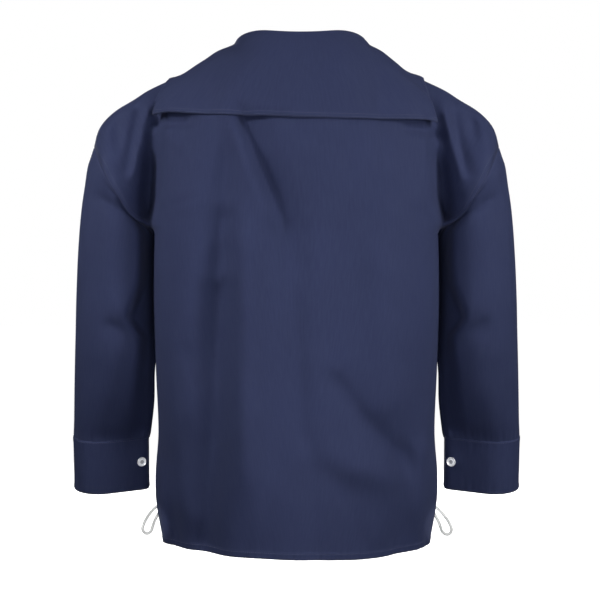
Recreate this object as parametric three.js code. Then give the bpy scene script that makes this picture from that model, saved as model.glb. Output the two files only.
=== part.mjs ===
import * as THREE from 'three';
import { mergeVertices } from 'three/addons/utils/BufferGeometryUtils.js';

// A navy pull-over sailing smock, worn form with no wearer: all pieces are cloth walls with a hollow inside.
// Millimetres. x points to the wearer's left, y to the back, z up.
// The origin is the centre of the neck opening, level with the tops of the shoulders beside the neck.

const bodyCloth = 1.5;
const collarCloth = 2.0;
const cuffCloth = 2.0;
const seamGap = 0.3;
const BACK = 1;
const FRONT = -1;

// Body below the armholes, from hem to underarm.
// power is the exponent of each rounded section: 1.6 is a pointed oval, 3 is nearly a rounded box.
const bodySections = [
  { z: -718, halfWidth: 194.8, back: 149, front: 140, power: 1.6 },
  { z: -700, halfWidth: 197.5, back: 148, front: 139, power: 1.65 },
  { z: -672, halfWidth: 204.0, back: 147, front: 138, power: 1.75 },
  { z: -626, halfWidth: 203.8, back: 144, front: 136, power: 1.9 },
  { z: -553, halfWidth: 199.6, back: 138, front: 132, power: 2.2 },
  { z: -466, halfWidth: 202.7, back: 131, front: 127, power: 2.6 },
  { z: -364, halfWidth: 205.1, back: 125, front: 123, power: 3.0 },
  { z: -310, halfWidth: 204.6, back: 121, front: 120, power: 3.2 },
  { z: -265, halfWidth: 203.2, back: 118, front: 117, power: 3.4 },
];
const underarmZ = -265;
const hemToUnderarm = [-718, -702, -674, -640, -600, -556, -512, -468, -422, -376, -332, -296];

// Top line of the shoulder, from the neck out to the armhole seam.
const shoulderLine = [
  { x: 90.0, z: -4.0 },
  { x: 136.0, z: -19.5 },
  { x: 160.0, z: -32.5 },
  { x: 189.0, z: -45.5 },
  { x: 216.0, z: -59.0 },
  { x: 237.0, z: -73.5 },
  { x: 261.0, z: -88.0 },
  { x: 277.0, z: -103.0 },
  { x: 287.0, z: -117.0 },
  { x: 292.0, z: -131.0 },
  { x: 294.0, z: -141.0 },
];

// Neckline where the collar is sewn on.
const neck = {
  halfWidth: 90,
  backDepth: 66,
  frontDepth: 76,
  sideZ: -4,
  backDrop: 14,
  frontDrop: 64,
};
// Share of a panel's half width, in panel units, that lies under the neckline.
const neckAcross = 0.3;
// How the panels curve in from the underarm level to the top line.
const yoke = { inEase: 1.2, roundness: 0.9 };
// Cap of the dropped shoulder: the panel unit where it begins, and the valley between it and the torso.
const cap = {
  across: 0.62,
  outStep: 22,
  inStep: 24,
  firstShare: 0.33,
  secondShare: 0.67,
  valleyX: 205,
  valleyLowY: -10,
  valleyHighY: 30,
  fullFrom: 0.22,
  fullTo: 0.6,
};
// Where the folds die out, towards the side edges and the top of a panel.
const foldsEnd = { across: 0.9, up: 0.88 };
// How far a fold runs out past its ends, in widths.
const foldRunOut = 1.6;

// Neck slit in the front panel.
const slit = { bottomUp: 0.42, halfOpening: 15, spread: 0.35 };

// Armhole seam from underarm (up = 0) to shoulder point (up = 1).
const armhole = [
  { up: 0.0, x: 206.4, z: -262 },
  { up: 0.14, x: 221.0, z: -254 },
  { up: 0.27, x: 239.0, z: -241 },
  { up: 0.47, x: 255.0, z: -214 },
  { up: 0.66, x: 270.0, z: -189 },
  { up: 0.85, x: 283.5, z: -162 },
  { up: 1.0, x: 294.0, z: -141 },
];
const armholeHalfDepth = 69;
const armholeRoundness = 0.8;
// Outward direction of the cloth at the seam's lowest and highest points.
const armholeFacing = { underX: -0.25, underZ: -0.97, overX: 0.93, overZ: 0.36, ease: 1.5 };
const panelUps = [0, 0.09, 0.18, 0.28, 0.38, 0.48, 0.58, 0.68, 0.78, 0.89, 1];
const panelAcross = [0, 0.05, 0.1, 0.15, 0.2, 0.25, 0.3, 0.4, 0.51, 0.62, 0.68, 0.74, 0.8, 0.87, 0.93, 1];

// Sleeve rings below the armhole. inner is the side next to the body, outer the far side.
// egg blends the ring from an oval to the shape of the cuff; lean drops the back of the ring, in degrees.
const sleeveRings = [
  { innerX: 209.6, innerZ: -277, outerX: 302.3, outerZ: -166, halfDepth: 70.0, y: 0, egg: 0.0, lean: 0 },
  { innerX: 208.4, innerZ: -300, outerX: 307.2, outerZ: -196, halfDepth: 69.0, y: 1, egg: 0.0, lean: 0 },
  { innerX: 207.7, innerZ: -326, outerX: 311.8, outerZ: -230, halfDepth: 67.5, y: 3, egg: 0.0, lean: 0 },
  { innerX: 207.5, innerZ: -354, outerX: 315.3, outerZ: -272, halfDepth: 66.0, y: 5, egg: 0.0, lean: 0 },
  { innerX: 207.5, innerZ: -384, outerX: 317.8, outerZ: -318, halfDepth: 64.5, y: 6, egg: 0.0, lean: 1 },
  { innerX: 207.5, innerZ: -414, outerX: 319.6, outerZ: -366, halfDepth: 62.5, y: 4, egg: 0.05, lean: 3 },
  { innerX: 207.6, innerZ: -444, outerX: 321.0, outerZ: -414, halfDepth: 59.0, y: -2, egg: 0.15, lean: 5 },
  { innerX: 208.0, innerZ: -474, outerX: 323.0, outerZ: -456, halfDepth: 55.0, y: -11, egg: 0.3, lean: 7 },
  { innerX: 209.0, innerZ: -505, outerX: 325.0, outerZ: -496, halfDepth: 50.5, y: -20, egg: 0.5, lean: 9 },
  { innerX: 212.5, innerZ: -536, outerX: 327.0, outerZ: -532, halfDepth: 45.0, y: -31, egg: 0.75, lean: 10 },
  { innerX: 217.4, innerZ: -563, outerX: 328.8, outerZ: -563, halfDepth: 38.0, y: -40, egg: 1.0, lean: 11 },
];

// Edge where the flat back of the sleeve turns in towards the body, notched at the bent elbow.
// Past the edge, on the side next to the body, the cloth drops away within its width.
const sleeveEdge = [
  { z: -563, x: 245, drop: 0, width: 26 },
  { z: -548, x: 241, drop: 6, width: 26 },
  { z: -506, x: 233, drop: 9, width: 20 },
  { z: -470, x: 229, drop: 12, width: 14 },
  { z: -440, x: 224, drop: 14, width: 12 },
  { z: -418, x: 223, drop: 15, width: 10 },
  { z: -403, x: 232, drop: 18, width: 9 },
  { z: -389, x: 240, drop: 20, width: 9 },
  { z: -364, x: 231, drop: 19, width: 9 },
  { z: -335, x: 223, drop: 18, width: 9 },
  { z: -300, x: 221, drop: 17, width: 9 },
  { z: -268, x: 223, drop: 12, width: 9 },
  { z: -248, x: 233, drop: 5, width: 9 },
  { z: -226, x: 246, drop: 0, width: 9 },
];
// Share of a sleeve's half depth, from its inner and outer sides, within which folds grow to full height.
const sleeveFoldsFrom = 0.35;

// Cuff: an egg-shaped band, small end next to the body, where its lap is fastened.
const cuff = {
  topZ: -563.3,
  depth: 77.5,
  centreX: 273.6,
  topY: -40,
  bottomY: -44,
  halfWidth: 55.2,
  wristRadius: 38,
  lapRadius: 18,
  lean: 11,
  lapLength: 30,
  lapShift: 1.2,
  lapEnd: 0.14,
  steps: 34,
};
// Place of the lap's middle, as a share of the cuff's girth from the small end, round by the back.
const lapMiddle = 0.083;
const stud = { radius: 7, rim: 1.1, height: 2.6, dish: 1.1, fromTop: 35 };

// Collar. Angles run round the neck from the centre back, 90 at the shoulder, to its front ends.
const collar = {
  backStand: 33,
  sideStand: 18,
  endStand: 7,
  foldRadius: 3.2,
  seamRoom: 0.1,
  seamDrop: 0.6,
  layOff: 3.4,
  rollEase: 3.2,
  shoulderLift: 5,
  shoulderAngle: 75,
  shoulderSpread: 34,
  cornerLift: 7,
  cornerAngle: 45,
  cornerSpread: 13,
  endAngle: 165,
  step: 7.5,
};
// Angle between two of the panels' points along the neckline.
const neckStation = 15;
// Rows of the collar: up its stand, round its fold in degrees, and down its fall.
const standShares = [0.45, 0.85];
const foldTurns = [0, 60, 120];
const fallShares = [0.06, 0.15, 0.26, 0.38, 0.5, 0.62, 0.74, 0.87, 1];
// Outer edge of the collar's fall, on the wearer's left and right.
const collarEdge = [
  { angle: 0, leftX: 0, leftZ: -111, rightX: 0, rightZ: -111 },
  { angle: 45, leftX: 204, leftZ: -101, rightX: 191, rightZ: -113 },
  { angle: 90, leftX: 182, leftZ: -42.3, rightX: 181, rightZ: -41.9 },
  { angle: 165, leftX: 108, leftZ: -168, rightX: 108, rightZ: -168 },
];

// Folds, as soft troughs (depth below zero) and ridges, each along a line seen from the back or front.
const folds = [
  { side: BACK, x1: 82, z1: -106, x2: 50, z2: -163, width: 10, depth: -7 },
  { side: BACK, x1: 50, z1: -163, x2: 20, z2: -214, width: 12, depth: -7 },
  { side: BACK, x1: 20, z1: -214, x2: 6, z2: -275, width: 13, depth: -5 },
  { side: BACK, x1: 6, z1: -275, x2: -8, z2: -545, width: 13, depth: -4 },
  { side: BACK, x1: -30, z1: -170, x2: -34, z2: -330, width: 24, depth: 3 },
  { side: BACK, x1: 98, z1: -175, x2: 106, z2: -290, width: 14, depth: -4 },
  { side: BACK, x1: 106, z1: -290, x2: 110, z2: -500, width: 17, depth: -8 },
  { side: BACK, x1: 110, z1: -500, x2: 126, z2: -700, width: 18, depth: -8 },
  { side: BACK, x1: 66, z1: -300, x2: 64, z2: -640, width: 24, depth: 4 },
  { side: BACK, x1: -60, z1: -486, x2: -94, z2: -532, width: 15, depth: -5 },
  { side: BACK, x1: -94, z1: -532, x2: -152, z2: -594, width: 15, depth: -8 },
  { side: BACK, x1: -60, z1: -585, x2: -128, z2: -612, width: 19, depth: 6 },
  { side: BACK, x1: -44, z1: -606, x2: -88, z2: -652, width: 15, depth: -5 },
  { side: BACK, x1: -154, z1: -350, x2: -152, z2: -490, width: 20, depth: 4 },
  { side: BACK, x1: -174, z1: -630, x2: -168, z2: -718, width: 19, depth: -6 },
  { side: BACK, x1: 152, z1: -565, x2: 172, z2: -718, width: 21, depth: -6 },
  { side: BACK, x1: 214, z1: -97, x2: 234, z2: -183, width: 13, depth: 7 },
  { side: BACK, x1: 259, z1: -118, x2: 262, z2: -142, width: 14, depth: -5 },
  { side: BACK, x1: -210, z1: -90, x2: -232, z2: -181, width: 13, depth: 7 },
  { side: BACK, x1: -253, z1: -112, x2: -258, z2: -136, width: 14, depth: -5 },
  { side: FRONT, x1: -60, z1: -170, x2: -104, z2: -330, width: 16, depth: -4 },
  { side: FRONT, x1: 70, z1: -180, x2: 100, z2: -360, width: 18, depth: -4 },
  { side: FRONT, x1: -70, z1: -420, x2: -92, z2: -690, width: 24, depth: -6 },
  { side: FRONT, x1: 84, z1: -450, x2: 108, z2: -700, width: 26, depth: -6 },
  { side: FRONT, x1: 4, z1: -380, x2: -8, z2: -640, width: 26, depth: 4 },
  { side: FRONT, x1: 160, z1: -600, x2: 162, z2: -718, width: 22, depth: -5 },
  { side: FRONT, x1: -160, z1: -610, x2: -163, z2: -718, width: 22, depth: -5 },
  { side: FRONT, x1: 224, z1: -112, x2: 238, z2: -190, width: 14, depth: 5 },
  { side: FRONT, x1: -222, z1: -108, x2: -236, z2: -186, width: 14, depth: 5 },
];
const sleeveFolds = [
  { side: BACK, x1: 274, z1: -222, x2: 236, z2: -246, width: 11, depth: -4 },
  { side: BACK, x1: 258, z1: -408, x2: 234, z2: -422, width: 13, depth: -5 },
  { side: BACK, x1: 254, z1: -446, x2: 262, z2: -520, width: 20, depth: 3 },
  { side: FRONT, x1: 216, z1: -350, x2: 268, z2: -372, width: 14, depth: -8 },
  { side: FRONT, x1: 214, z1: -400, x2: 276, z2: -388, width: 13, depth: -9 },
  { side: FRONT, x1: 220, z1: -440, x2: 262, z2: -424, width: 14, depth: -5 },
  { side: FRONT, x1: 292, z1: -420, x2: 284, z2: -530, width: 16, depth: -4 },
];

// Draw cord loops: route points seen from the back, from the upper hole to the lower one.
const cord = { diameter: 4, sides: 8, steps: 26 };
const leftLoop = [
  [206.5, 2.0, -664.2],
  [212.6, 3.4, -672.0],
  [217.6, 4.6, -681.0],
  [221.8, 4.8, -689.5],
  [223.6, 4.0, -696.5],
  [221.0, 2.6, -702.0],
  [216.0, 1.0, -703.5],
  [211.6, -0.6, -700.0],
  [209.4, -1.8, -693.5],
  [208.6, -2.6, -685.5],
  [206.9, -3.0, -676.6],
];
const rightLoop = [
  [-206.5, 2.0, -665.6],
  [-212.8, 3.6, -673.5],
  [-218.4, 4.8, -682.0],
  [-223.2, 5.0, -690.5],
  [-225.4, 4.0, -698.0],
  [-222.4, 2.4, -704.0],
  [-216.8, 0.8, -704.6],
  [-212.0, -0.8, -700.6],
  [-209.8, -2.0, -694.5],
  [-208.8, -2.8, -687.0],
  [-206.9, -3.0, -678.2],
];

const navy = new THREE.Color(0x2f3658);
const steel = new THREE.Color(0xc9ccd1);
const cordWhite = new THREE.Color(0xe4e5e3);

// Small helpers

function mix(a, b, share) {
  return a + (b - a) * share;
}

function smoothStep(low, high, value) {
  const share = Math.min(1, Math.max(0, (value - low) / (high - low)));
  return share * share * (3 - 2 * share);
}

// Smooth curve through a table's rows: the value of one column where the key column has the given value.
function readTable(table, keyName, key, column) {
  const rising = table[table.length - 1][keyName] > table[0][keyName];
  const rows = rising ? table : [...table].reverse();
  if (key <= rows[0][keyName]) return rows[0][column];
  if (key >= rows[rows.length - 1][keyName]) return rows[rows.length - 1][column];
  let at = 0;
  while (rows[at + 1][keyName] < key) at += 1;
  const span = (i) => rows[i + 1][keyName] - rows[i][keyName];
  const slope = (i) => (rows[i + 1][column] - rows[i][column]) / span(i);
  const tangent = (i) => {
    if (i === 0) return slope(0);
    if (i === rows.length - 1) return slope(i - 1);
    if (slope(i - 1) * slope(i) <= 0) return 0;
    return (2 * slope(i - 1) * slope(i)) / (slope(i - 1) + slope(i));
  };
  const share = (key - rows[at][keyName]) / span(at);
  const square = share * share;
  const cube = square * share;
  return (2 * cube - 3 * square + 1) * rows[at][column]
    + (cube - 2 * square + share) * span(at) * tangent(at)
    + (3 * square - 2 * cube) * rows[at + 1][column]
    + (cube - square) * span(at) * tangent(at + 1);
}

// Height of the folds at a place seen from one side.
function foldHeight(table, side, x, z) {
  let height = 0;
  for (const fold of table) {
    if (fold.side !== side) continue;
    const alongX = fold.x2 - fold.x1;
    const alongZ = fold.z2 - fold.z1;
    const length = Math.hypot(alongX, alongZ);
    const share = ((x - fold.x1) * alongX + (z - fold.z1) * alongZ) / (length * length);
    const across = Math.abs((x - fold.x1) * alongZ - (z - fold.z1) * alongX) / length;
    const past = Math.max(0, -share, share - 1) * length;
    const runOut = past / (foldRunOut * fold.width);
    height += fold.depth * Math.exp(-((across / fold.width) ** 2) - runOut ** 2);
  }
  return height;
}

// Body panels

// Rounded section of the body at one height. across runs from -1 to 1, side seam to side seam.
function sectionPoint(side, across, z) {
  const halfWidth = readTable(bodySections, 'z', z, 'halfWidth');
  const depth = readTable(bodySections, 'z', z, side === BACK ? 'back' : 'front');
  const exponent = 2 / readTable(bodySections, 'z', z, 'power');
  const turn = (Math.abs(across) * Math.PI) / 2;
  return new THREE.Vector3(
    Math.sign(across) * halfWidth * Math.sin(turn) ** exponent,
    side * depth * Math.max(0, Math.cos(turn)) ** exponent,
    z,
  );
}

// Top edge of a panel: the neckline in the middle, the shoulder line beyond it.
function topPoint(side, across) {
  const reach = Math.abs(across);
  if (reach <= neckAcross) {
    const turn = (reach / neckAcross) * (Math.PI / 2);
    const drop = side === BACK ? neck.backDrop : neck.frontDrop;
    const depth = side === BACK ? neck.backDepth : neck.frontDepth;
    return new THREE.Vector3(
      Math.sign(across) * neck.halfWidth * Math.sin(turn),
      side * depth * Math.cos(turn),
      neck.sideZ - drop * Math.cos(turn) ** 2,
    );
  }
  const last = shoulderLine[shoulderLine.length - 1];
  const x = mix(neck.halfWidth, last.x, (reach - neckAcross) / (1 - neckAcross));
  return new THREE.Vector3(Math.sign(across) * x, 0, readTable(shoulderLine, 'x', x, 'z'));
}

// Armhole seam, on the wearer's left. up runs from the underarm to the shoulder point.
function armholePoint(side, up) {
  return new THREE.Vector3(
    readTable(armhole, 'up', up, 'x'),
    side * armholeHalfDepth * Math.max(0, Math.sin(Math.PI * up)) ** armholeRoundness,
    readTable(armhole, 'up', up, 'z'),
  );
}

// Straight outward direction of the cloth at the armhole seam, shared by panel and sleeve.
function armholeNormal(side, up) {
  const { underX, underZ, overX, overZ, ease } = armholeFacing;
  const turn = Math.cos(Math.PI * up);
  const under = Math.max(0, turn) ** ease;
  const over = Math.max(0, -turn) ** ease;
  return new THREE.Vector3(
    underX * under + overX * over,
    side * Math.sin(Math.PI * up),
    underZ * under + overZ * over,
  ).normalize();
}

// Panel above the underarm: up runs from the underarm level to the top edge.
function yokePoint(side, across, up) {
  const reach = Math.abs(across);
  const sign = across < 0 ? -1 : 1;
  const rise = Math.sin((up * Math.PI) / 2);
  const round = Math.max(0, Math.cos((up * Math.PI) / 2)) ** yoke.roundness;
  const path = (place) => {
    const start = sectionPoint(side, place, underarmZ);
    const end = topPoint(side, place);
    return new THREE.Vector3(
      mix(start.x, end.x, up ** yoke.inEase),
      mix(end.y, start.y, round),
      mix(start.z, end.z, rise),
    );
  };
  const point = path(reach);
  if (reach <= cap.across) return new THREE.Vector3(sign * point.x, point.y, point.z);
  const share = (reach - cap.across) / (1 - cap.across);
  const seam = armholePoint(side, up);
  point.addScaledVector(seam.clone().sub(path(1)), share * share * (3 - 2 * share));
  const corner = path(cap.across);
  const firstZ = mix(corner.z, seam.z, cap.firstShare);
  const secondZ = mix(corner.z, seam.z, cap.secondShare);
  const valleyY = side * mix(cap.valleyLowY, cap.valleyHighY, up);
  const capPoint = new THREE.CubicBezierCurve3(
    corner,
    new THREE.Vector3(corner.x + cap.outStep, corner.y - side * cap.inStep, firstZ),
    new THREE.Vector3(cap.valleyX, valleyY, secondZ),
    seam,
  ).getPoint(share);
  const capShare = smoothStep(0, cap.fullFrom, up) * (1 - smoothStep(cap.fullTo, 1, up));
  point.lerp(capPoint, capShare);
  return new THREE.Vector3(sign * point.x, point.y, point.z);
}

// Any point of a panel. Below the underarm, up is a height in millimetres, below zero.
function panelPoint(side, across, up) {
  const point = up < 0 ? sectionPoint(side, across, up) : yokePoint(side, across, up);
  const edgeFade = 1 - smoothStep(foldsEnd.across, 1, Math.abs(across));
  const topFade = 1 - smoothStep(foldsEnd.up, 1, up);
  point.y += side * foldHeight(folds, side, point.x, point.z) * edgeFade * topFade;
  point.y = side * Math.max(side * point.y, seamGap / 2);
  return point;
}

// Moves the front's centre apart at the neck slit. hand is 1 on the wearer's left, -1 on the right.
function openSlit(point, across, up, hand) {
  const open = Math.max(0, (up - slit.bottomUp) / (1 - slit.bottomUp));
  const near = Math.max(0, 1 - Math.abs(across) / slit.spread);
  point.x += hand * slit.halfOpening * open * near;
  return point;
}

function frontPoint(across, up, hand) {
  return openSlit(panelPoint(FRONT, across, up), across, up, hand);
}

// Cloth walls

// Gives a mid surface its thickness. sheet.quads list point numbers, anticlockwise seen from outside.
function clothWall(sheet, thickness) {
  const count = sheet.points.length;
  const normals = sheet.points.map(() => new THREE.Vector3());
  for (const quad of sheet.quads) {
    const [a, b, c, d] = quad.map((i) => sheet.points[i]);
    const facing = new THREE.Vector3().subVectors(c, a).cross(new THREE.Vector3().subVectors(d, b));
    facing.normalize();
    for (const i of quad) normals[i].add(facing);
  }
  normals.forEach((normal, i) => {
    if (sheet.fixedNormals[i]) normal.copy(sheet.fixedNormals[i]);
    if (sheet.levelNormals.has(i)) normal.y = 0;
    normal.normalize();
  });
  const positions = [];
  for (const direction of [0.5, -0.5]) {
    sheet.points.forEach((point, i) => {
      const moved = point.clone().addScaledVector(normals[i], direction * thickness);
      positions.push(moved.x, moved.y, moved.z);
    });
  }
  const triangles = [];
  const edges = new Map();
  for (const [a, b, c, d] of sheet.quads) {
    triangles.push(a, b, c, a, c, d);
    triangles.push(count + a, count + c, count + b, count + a, count + d, count + c);
    for (const [from, to] of [[a, b], [b, c], [c, d], [d, a]]) {
      if (edges.has(`${to} ${from}`)) edges.delete(`${to} ${from}`);
      else edges.set(`${from} ${to}`, [from, to]);
    }
  }
  for (const [from, to] of edges.values()) {
    triangles.push(from, count + from, count + to, from, count + to, to);
  }
  const geometry = new THREE.BufferGeometry();
  geometry.setAttribute('position', new THREE.Float32BufferAttribute(positions, 3));
  geometry.setIndex(triangles);
  geometry.computeVertexNormals();
  return geometry;
}

function newSheet() {
  return { points: [], quads: [], fixedNormals: {}, levelNormals: new Set() };
}

// Adds a grid of quads. numbers[row][column] are point numbers; flip turns the grid's face over.
function addGrid(sheet, numbers, flip) {
  for (let row = 0; row + 1 < numbers.length; row += 1) {
    for (let column = 0; column + 1 < numbers[row].length; column += 1) {
      const quad = [
        numbers[row][column],
        numbers[row][column + 1],
        numbers[row + 1][column + 1],
        numbers[row + 1][column],
      ];
      sheet.quads.push(flip ? quad.reverse() : quad);
    }
  }
}

function halfPanel(sheet, side, hand, centre) {
  const rows = [
    ...hemToUnderarm.map((z) => ({ up: z, inYoke: false })),
    ...panelUps.map((up) => ({ up, inYoke: true })),
  ];
  const numbers = rows.map(({ up, inYoke }, row) => panelAcross.map((across, column) => {
    if (column === 0 && centre[row] !== undefined) return centre[row];
    const place = hand * across;
    const point = side === FRONT ? frontPoint(place, up, hand) : panelPoint(side, place, up);
    const number = sheet.points.push(point) - 1;
    if (column === 0) centre[row] = number;
    const atSide = column === panelAcross.length - 1;
    if (atSide && inYoke) {
      const normal = armholeNormal(side, up);
      normal.x *= hand;
      sheet.fixedNormals[number] = normal;
    }
    const onShoulder = inYoke && up === 1 && across >= neckAcross;
    if ((atSide && !inYoke) || onShoulder) sheet.levelNormals.add(number);
    if (side === FRONT && column === 0 && inYoke && up > slit.bottomUp) delete centre[row];
    return number;
  }));
  addGrid(sheet, numbers, side * hand > 0);
}

function panelGeometry(side) {
  const sheet = newSheet();
  const centre = [];
  halfPanel(sheet, side, 1, centre);
  halfPanel(sheet, side, -1, centre);
  return clothWall(sheet, bodyCloth);
}

// Sleeves and cuffs

// Outline of an egg: share is the part of the girth from its small end, round by the back.
function eggPoint(share) {
  const big = cuff.wristRadius;
  const small = cuff.lapRadius;
  const bigX = cuff.halfWidth - big;
  const smallX = small - cuff.halfWidth;
  const tilt = Math.asin((big - small) / (bigX - smallX));
  const smallArc = small * (Math.PI / 2 - tilt);
  const bigArc = big * (Math.PI / 2 + tilt);
  const straight = (bigX - smallX) * Math.cos(tilt);
  const half = smallArc + straight + bigArc;
  const wrapped = share - Math.floor(share);
  const side = wrapped <= 0.5 ? 1 : -1;
  const walked = (side > 0 ? wrapped : 1 - wrapped) * 2 * half;
  let x;
  let y;
  let turn;
  if (walked < smallArc) {
    turn = walked / small;
    x = smallX - small * Math.cos(turn);
    y = small * Math.sin(turn);
  } else if (walked < smallArc + straight) {
    turn = Math.PI / 2 - tilt;
    x = smallX - small * Math.cos(turn) + (walked - smallArc) * Math.cos(tilt);
    y = small * Math.sin(turn) + (walked - smallArc) * Math.sin(tilt);
  } else {
    turn = Math.PI / 2 - tilt + (walked - smallArc - straight) / big;
    x = bigX - big * Math.cos(turn);
    y = big * Math.sin(turn);
  }
  return { x, y: side * y, normalX: -Math.cos(turn), normalY: side * Math.sin(turn), girth: 2 * half };
}

// How far the sleeve's back drops past its edge, on the side next to the body.
function edgeDrop(x, z) {
  const past = readTable(sleeveEdge, 'z', z, 'x') - x;
  return readTable(sleeveEdge, 'z', z, 'drop') * smoothStep(0, readTable(sleeveEdge, 'z', z, 'width'), past);
}

// Point of a sleeve ring on the wearer's left. around runs from 0 at the inner side, by the back.
function sleevePoint(ring, around, foldSign) {
  const turn = around * Math.PI * 2;
  const egg = eggPoint(around);
  const middleX = (ring.innerX + ring.outerX) / 2;
  const middleZ = (ring.innerZ + ring.outerZ) / 2;
  const halfX = (ring.outerX - ring.innerX) / 2;
  const halfZ = (ring.outerZ - ring.innerZ) / 2;
  const out = mix(-Math.cos(turn), egg.x / cuff.halfWidth, ring.egg);
  const back = mix(Math.sin(turn) * ring.halfDepth, egg.y * (ring.halfDepth / cuff.wristRadius), ring.egg);
  const point = new THREE.Vector3(
    middleX + halfX * out,
    ring.y + back,
    middleZ + halfZ * out - back * Math.tan(THREE.MathUtils.degToRad(ring.lean)),
  );
  const side = back >= 0 ? BACK : FRONT;
  const grown = Math.min(1, Math.abs(back) / (sleeveFoldsFrom * ring.halfDepth));
  const drop = side === BACK ? edgeDrop(point.x, point.z) : 0;
  const height = foldHeight(sleeveFolds, side, point.x, point.z) - drop;
  point.y += side * height * grown * foldSign;
  return point;
}

// Sleeve, as the armhole ring followed by the table's rings. hand is 1 for the wearer's left.
function sleeveGeometry(hand) {
  const sheet = newSheet();
  const places = [
    ...panelUps.map((up) => ({ side: BACK, up })),
    ...panelUps.slice(1, -1).reverse().map((up) => ({ side: FRONT, up })),
  ];
  const arounds = places.map(({ side, up }) => (side === BACK ? up / 2 : 1 - up / 2));
  const seamPoints = places.map(({ side, up }) => armholePoint(side, up));
  const count = places.length;
  const firstRow = places.map(({ side, up }, i) => {
    const normal = armholeNormal(side, up);
    if (up === 0 || up === 1) normal.y = 0;
    const along = seamPoints[(i + 1) % count].clone().sub(seamPoints[(i + count - 1) % count]);
    const away = along.cross(normal).normalize();
    const number = sheet.points.push(seamPoints[i].clone().addScaledVector(away, seamGap)) - 1;
    sheet.fixedNormals[number] = normal.normalize();
    return number;
  });
  const rows = [firstRow];
  sleeveRings.forEach((ring, at) => {
    const fade = at === sleeveRings.length - 1 ? 0 : 1;
    rows.push(arounds.map((around) => sheet.points.push(sleevePoint(ring, around, fade)) - 1));
  });
  const numbers = rows.map((row) => [...row, row[0]]);
  addGrid(sheet, numbers, true);
  return mirrorSheet(sheet, hand, bodyCloth);
}

// Builds the wall of a left-hand sheet, or of its mirror image for the wearer's right.
function mirrorSheet(sheet, hand, thickness) {
  if (hand < 0) {
    for (const point of sheet.points) point.x *= -1;
    for (const normal of Object.values(sheet.fixedNormals)) normal.x *= -1;
    for (const quad of sheet.quads) quad.reverse();
  }
  return clothWall(sheet, thickness);
}

// Point on the cuff, at a share of its girth and a distance below its top edge.
function cuffPoint(share, fall, shift) {
  const egg = eggPoint(share);
  const x = egg.x + egg.normalX * shift;
  const y = egg.y + egg.normalY * shift;
  return new THREE.Vector3(
    cuff.centreX + x,
    mix(cuff.topY, cuff.bottomY, fall / cuff.depth) + y,
    cuff.topZ - fall - y * Math.tan(THREE.MathUtils.degToRad(cuff.lean)),
  );
}

// The cuff band starts under its own lap, runs round by the front and ends over its start.
function cuffGeometry(hand) {
  const sheet = newSheet();
  const lap = cuff.lapLength / eggPoint(0).girth;
  const rows = [0, 0.5, 1].map((share) => {
    const row = [];
    for (let i = 0; i <= cuff.steps; i += 1) {
      const walked = i / cuff.steps;
      const lifted = smoothStep(cuff.lapEnd, 1 - cuff.lapEnd, walked);
      const shift = mix(-cuff.lapShift, cuff.lapShift, lifted);
      const place = lapMiddle + lap / 2 - walked * (1 + lap);
      row.push(sheet.points.push(cuffPoint(place, share * cuff.depth, shift)) - 1);
    }
    return row;
  });
  addGrid(sheet, rows, false);
  return mirrorSheet(sheet, hand, cuffCloth);
}

// Press stud: a round cap with a raised rim and a dished middle.
function studGeometry() {
  const { radius, rim, height, dish } = stud;
  const profile = [
    new THREE.Vector2(0, 0),
    new THREE.Vector2(radius - 0.6, 0),
    new THREE.Vector2(radius, height * 0.35),
    new THREE.Vector2(radius - 0.3, height * 0.8),
    new THREE.Vector2(radius - rim, height),
    new THREE.Vector2(radius - 2 * rim, height * 0.85),
    new THREE.Vector2(radius - 2.6 * rim, height - dish),
    new THREE.Vector2(0, height - dish * 0.8),
  ];
  const geometry = new THREE.LatheGeometry(profile, 24);
  geometry.deleteAttribute('normal');
  geometry.deleteAttribute('uv');
  return mergeVertices(geometry);
}

function placeStud(mesh, hand) {
  const egg = eggPoint(lapMiddle);
  const lift = cuff.lapShift + cuffCloth / 2 + seamGap;
  const point = cuffPoint(lapMiddle, stud.fromTop, lift);
  const facing = new THREE.Vector3(egg.normalX, egg.normalY, 0).normalize();
  point.x *= hand;
  facing.x *= hand;
  mesh.position.copy(point);
  mesh.quaternion.setFromUnitVectors(new THREE.Vector3(0, 1, 0), facing);
}

// Collar

// The panel place, as across and up, that lies under a point seen from one side.
function placeOnPanel(side, x, z) {
  const across = (up) => {
    let low = 0;
    let high = 1;
    for (let i = 0; i < 26; i += 1) {
      const middle = (low + high) / 2;
      if (panelPoint(side, middle, up).x < x) low = middle;
      else high = middle;
    }
    return (low + high) / 2;
  };
  let low = 0;
  let high = 1;
  for (let i = 0; i < 26; i += 1) {
    const middle = (low + high) / 2;
    if (panelPoint(side, across(middle), middle).z < z) low = middle;
    else high = middle;
  }
  return { across: across(high), up: high };
}

function panelNormal(side, across, up, hand) {
  const step = 0.004;
  const at = (a, u) => (side === FRONT ? frontPoint(a, u, hand) : panelPoint(side, a, u));
  const alongAcross = at(across + step, up).sub(at(across - step, up));
  const alongUp = at(across, Math.min(1, up + step)).sub(at(across, up - step));
  const normal = alongAcross.cross(alongUp).normalize();
  if (normal.y * side < 0 && Math.abs(normal.y) > Math.abs(normal.z)) normal.negate();
  if (Math.abs(normal.y) <= Math.abs(normal.z) && normal.z < 0) normal.negate();
  return normal;
}

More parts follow.
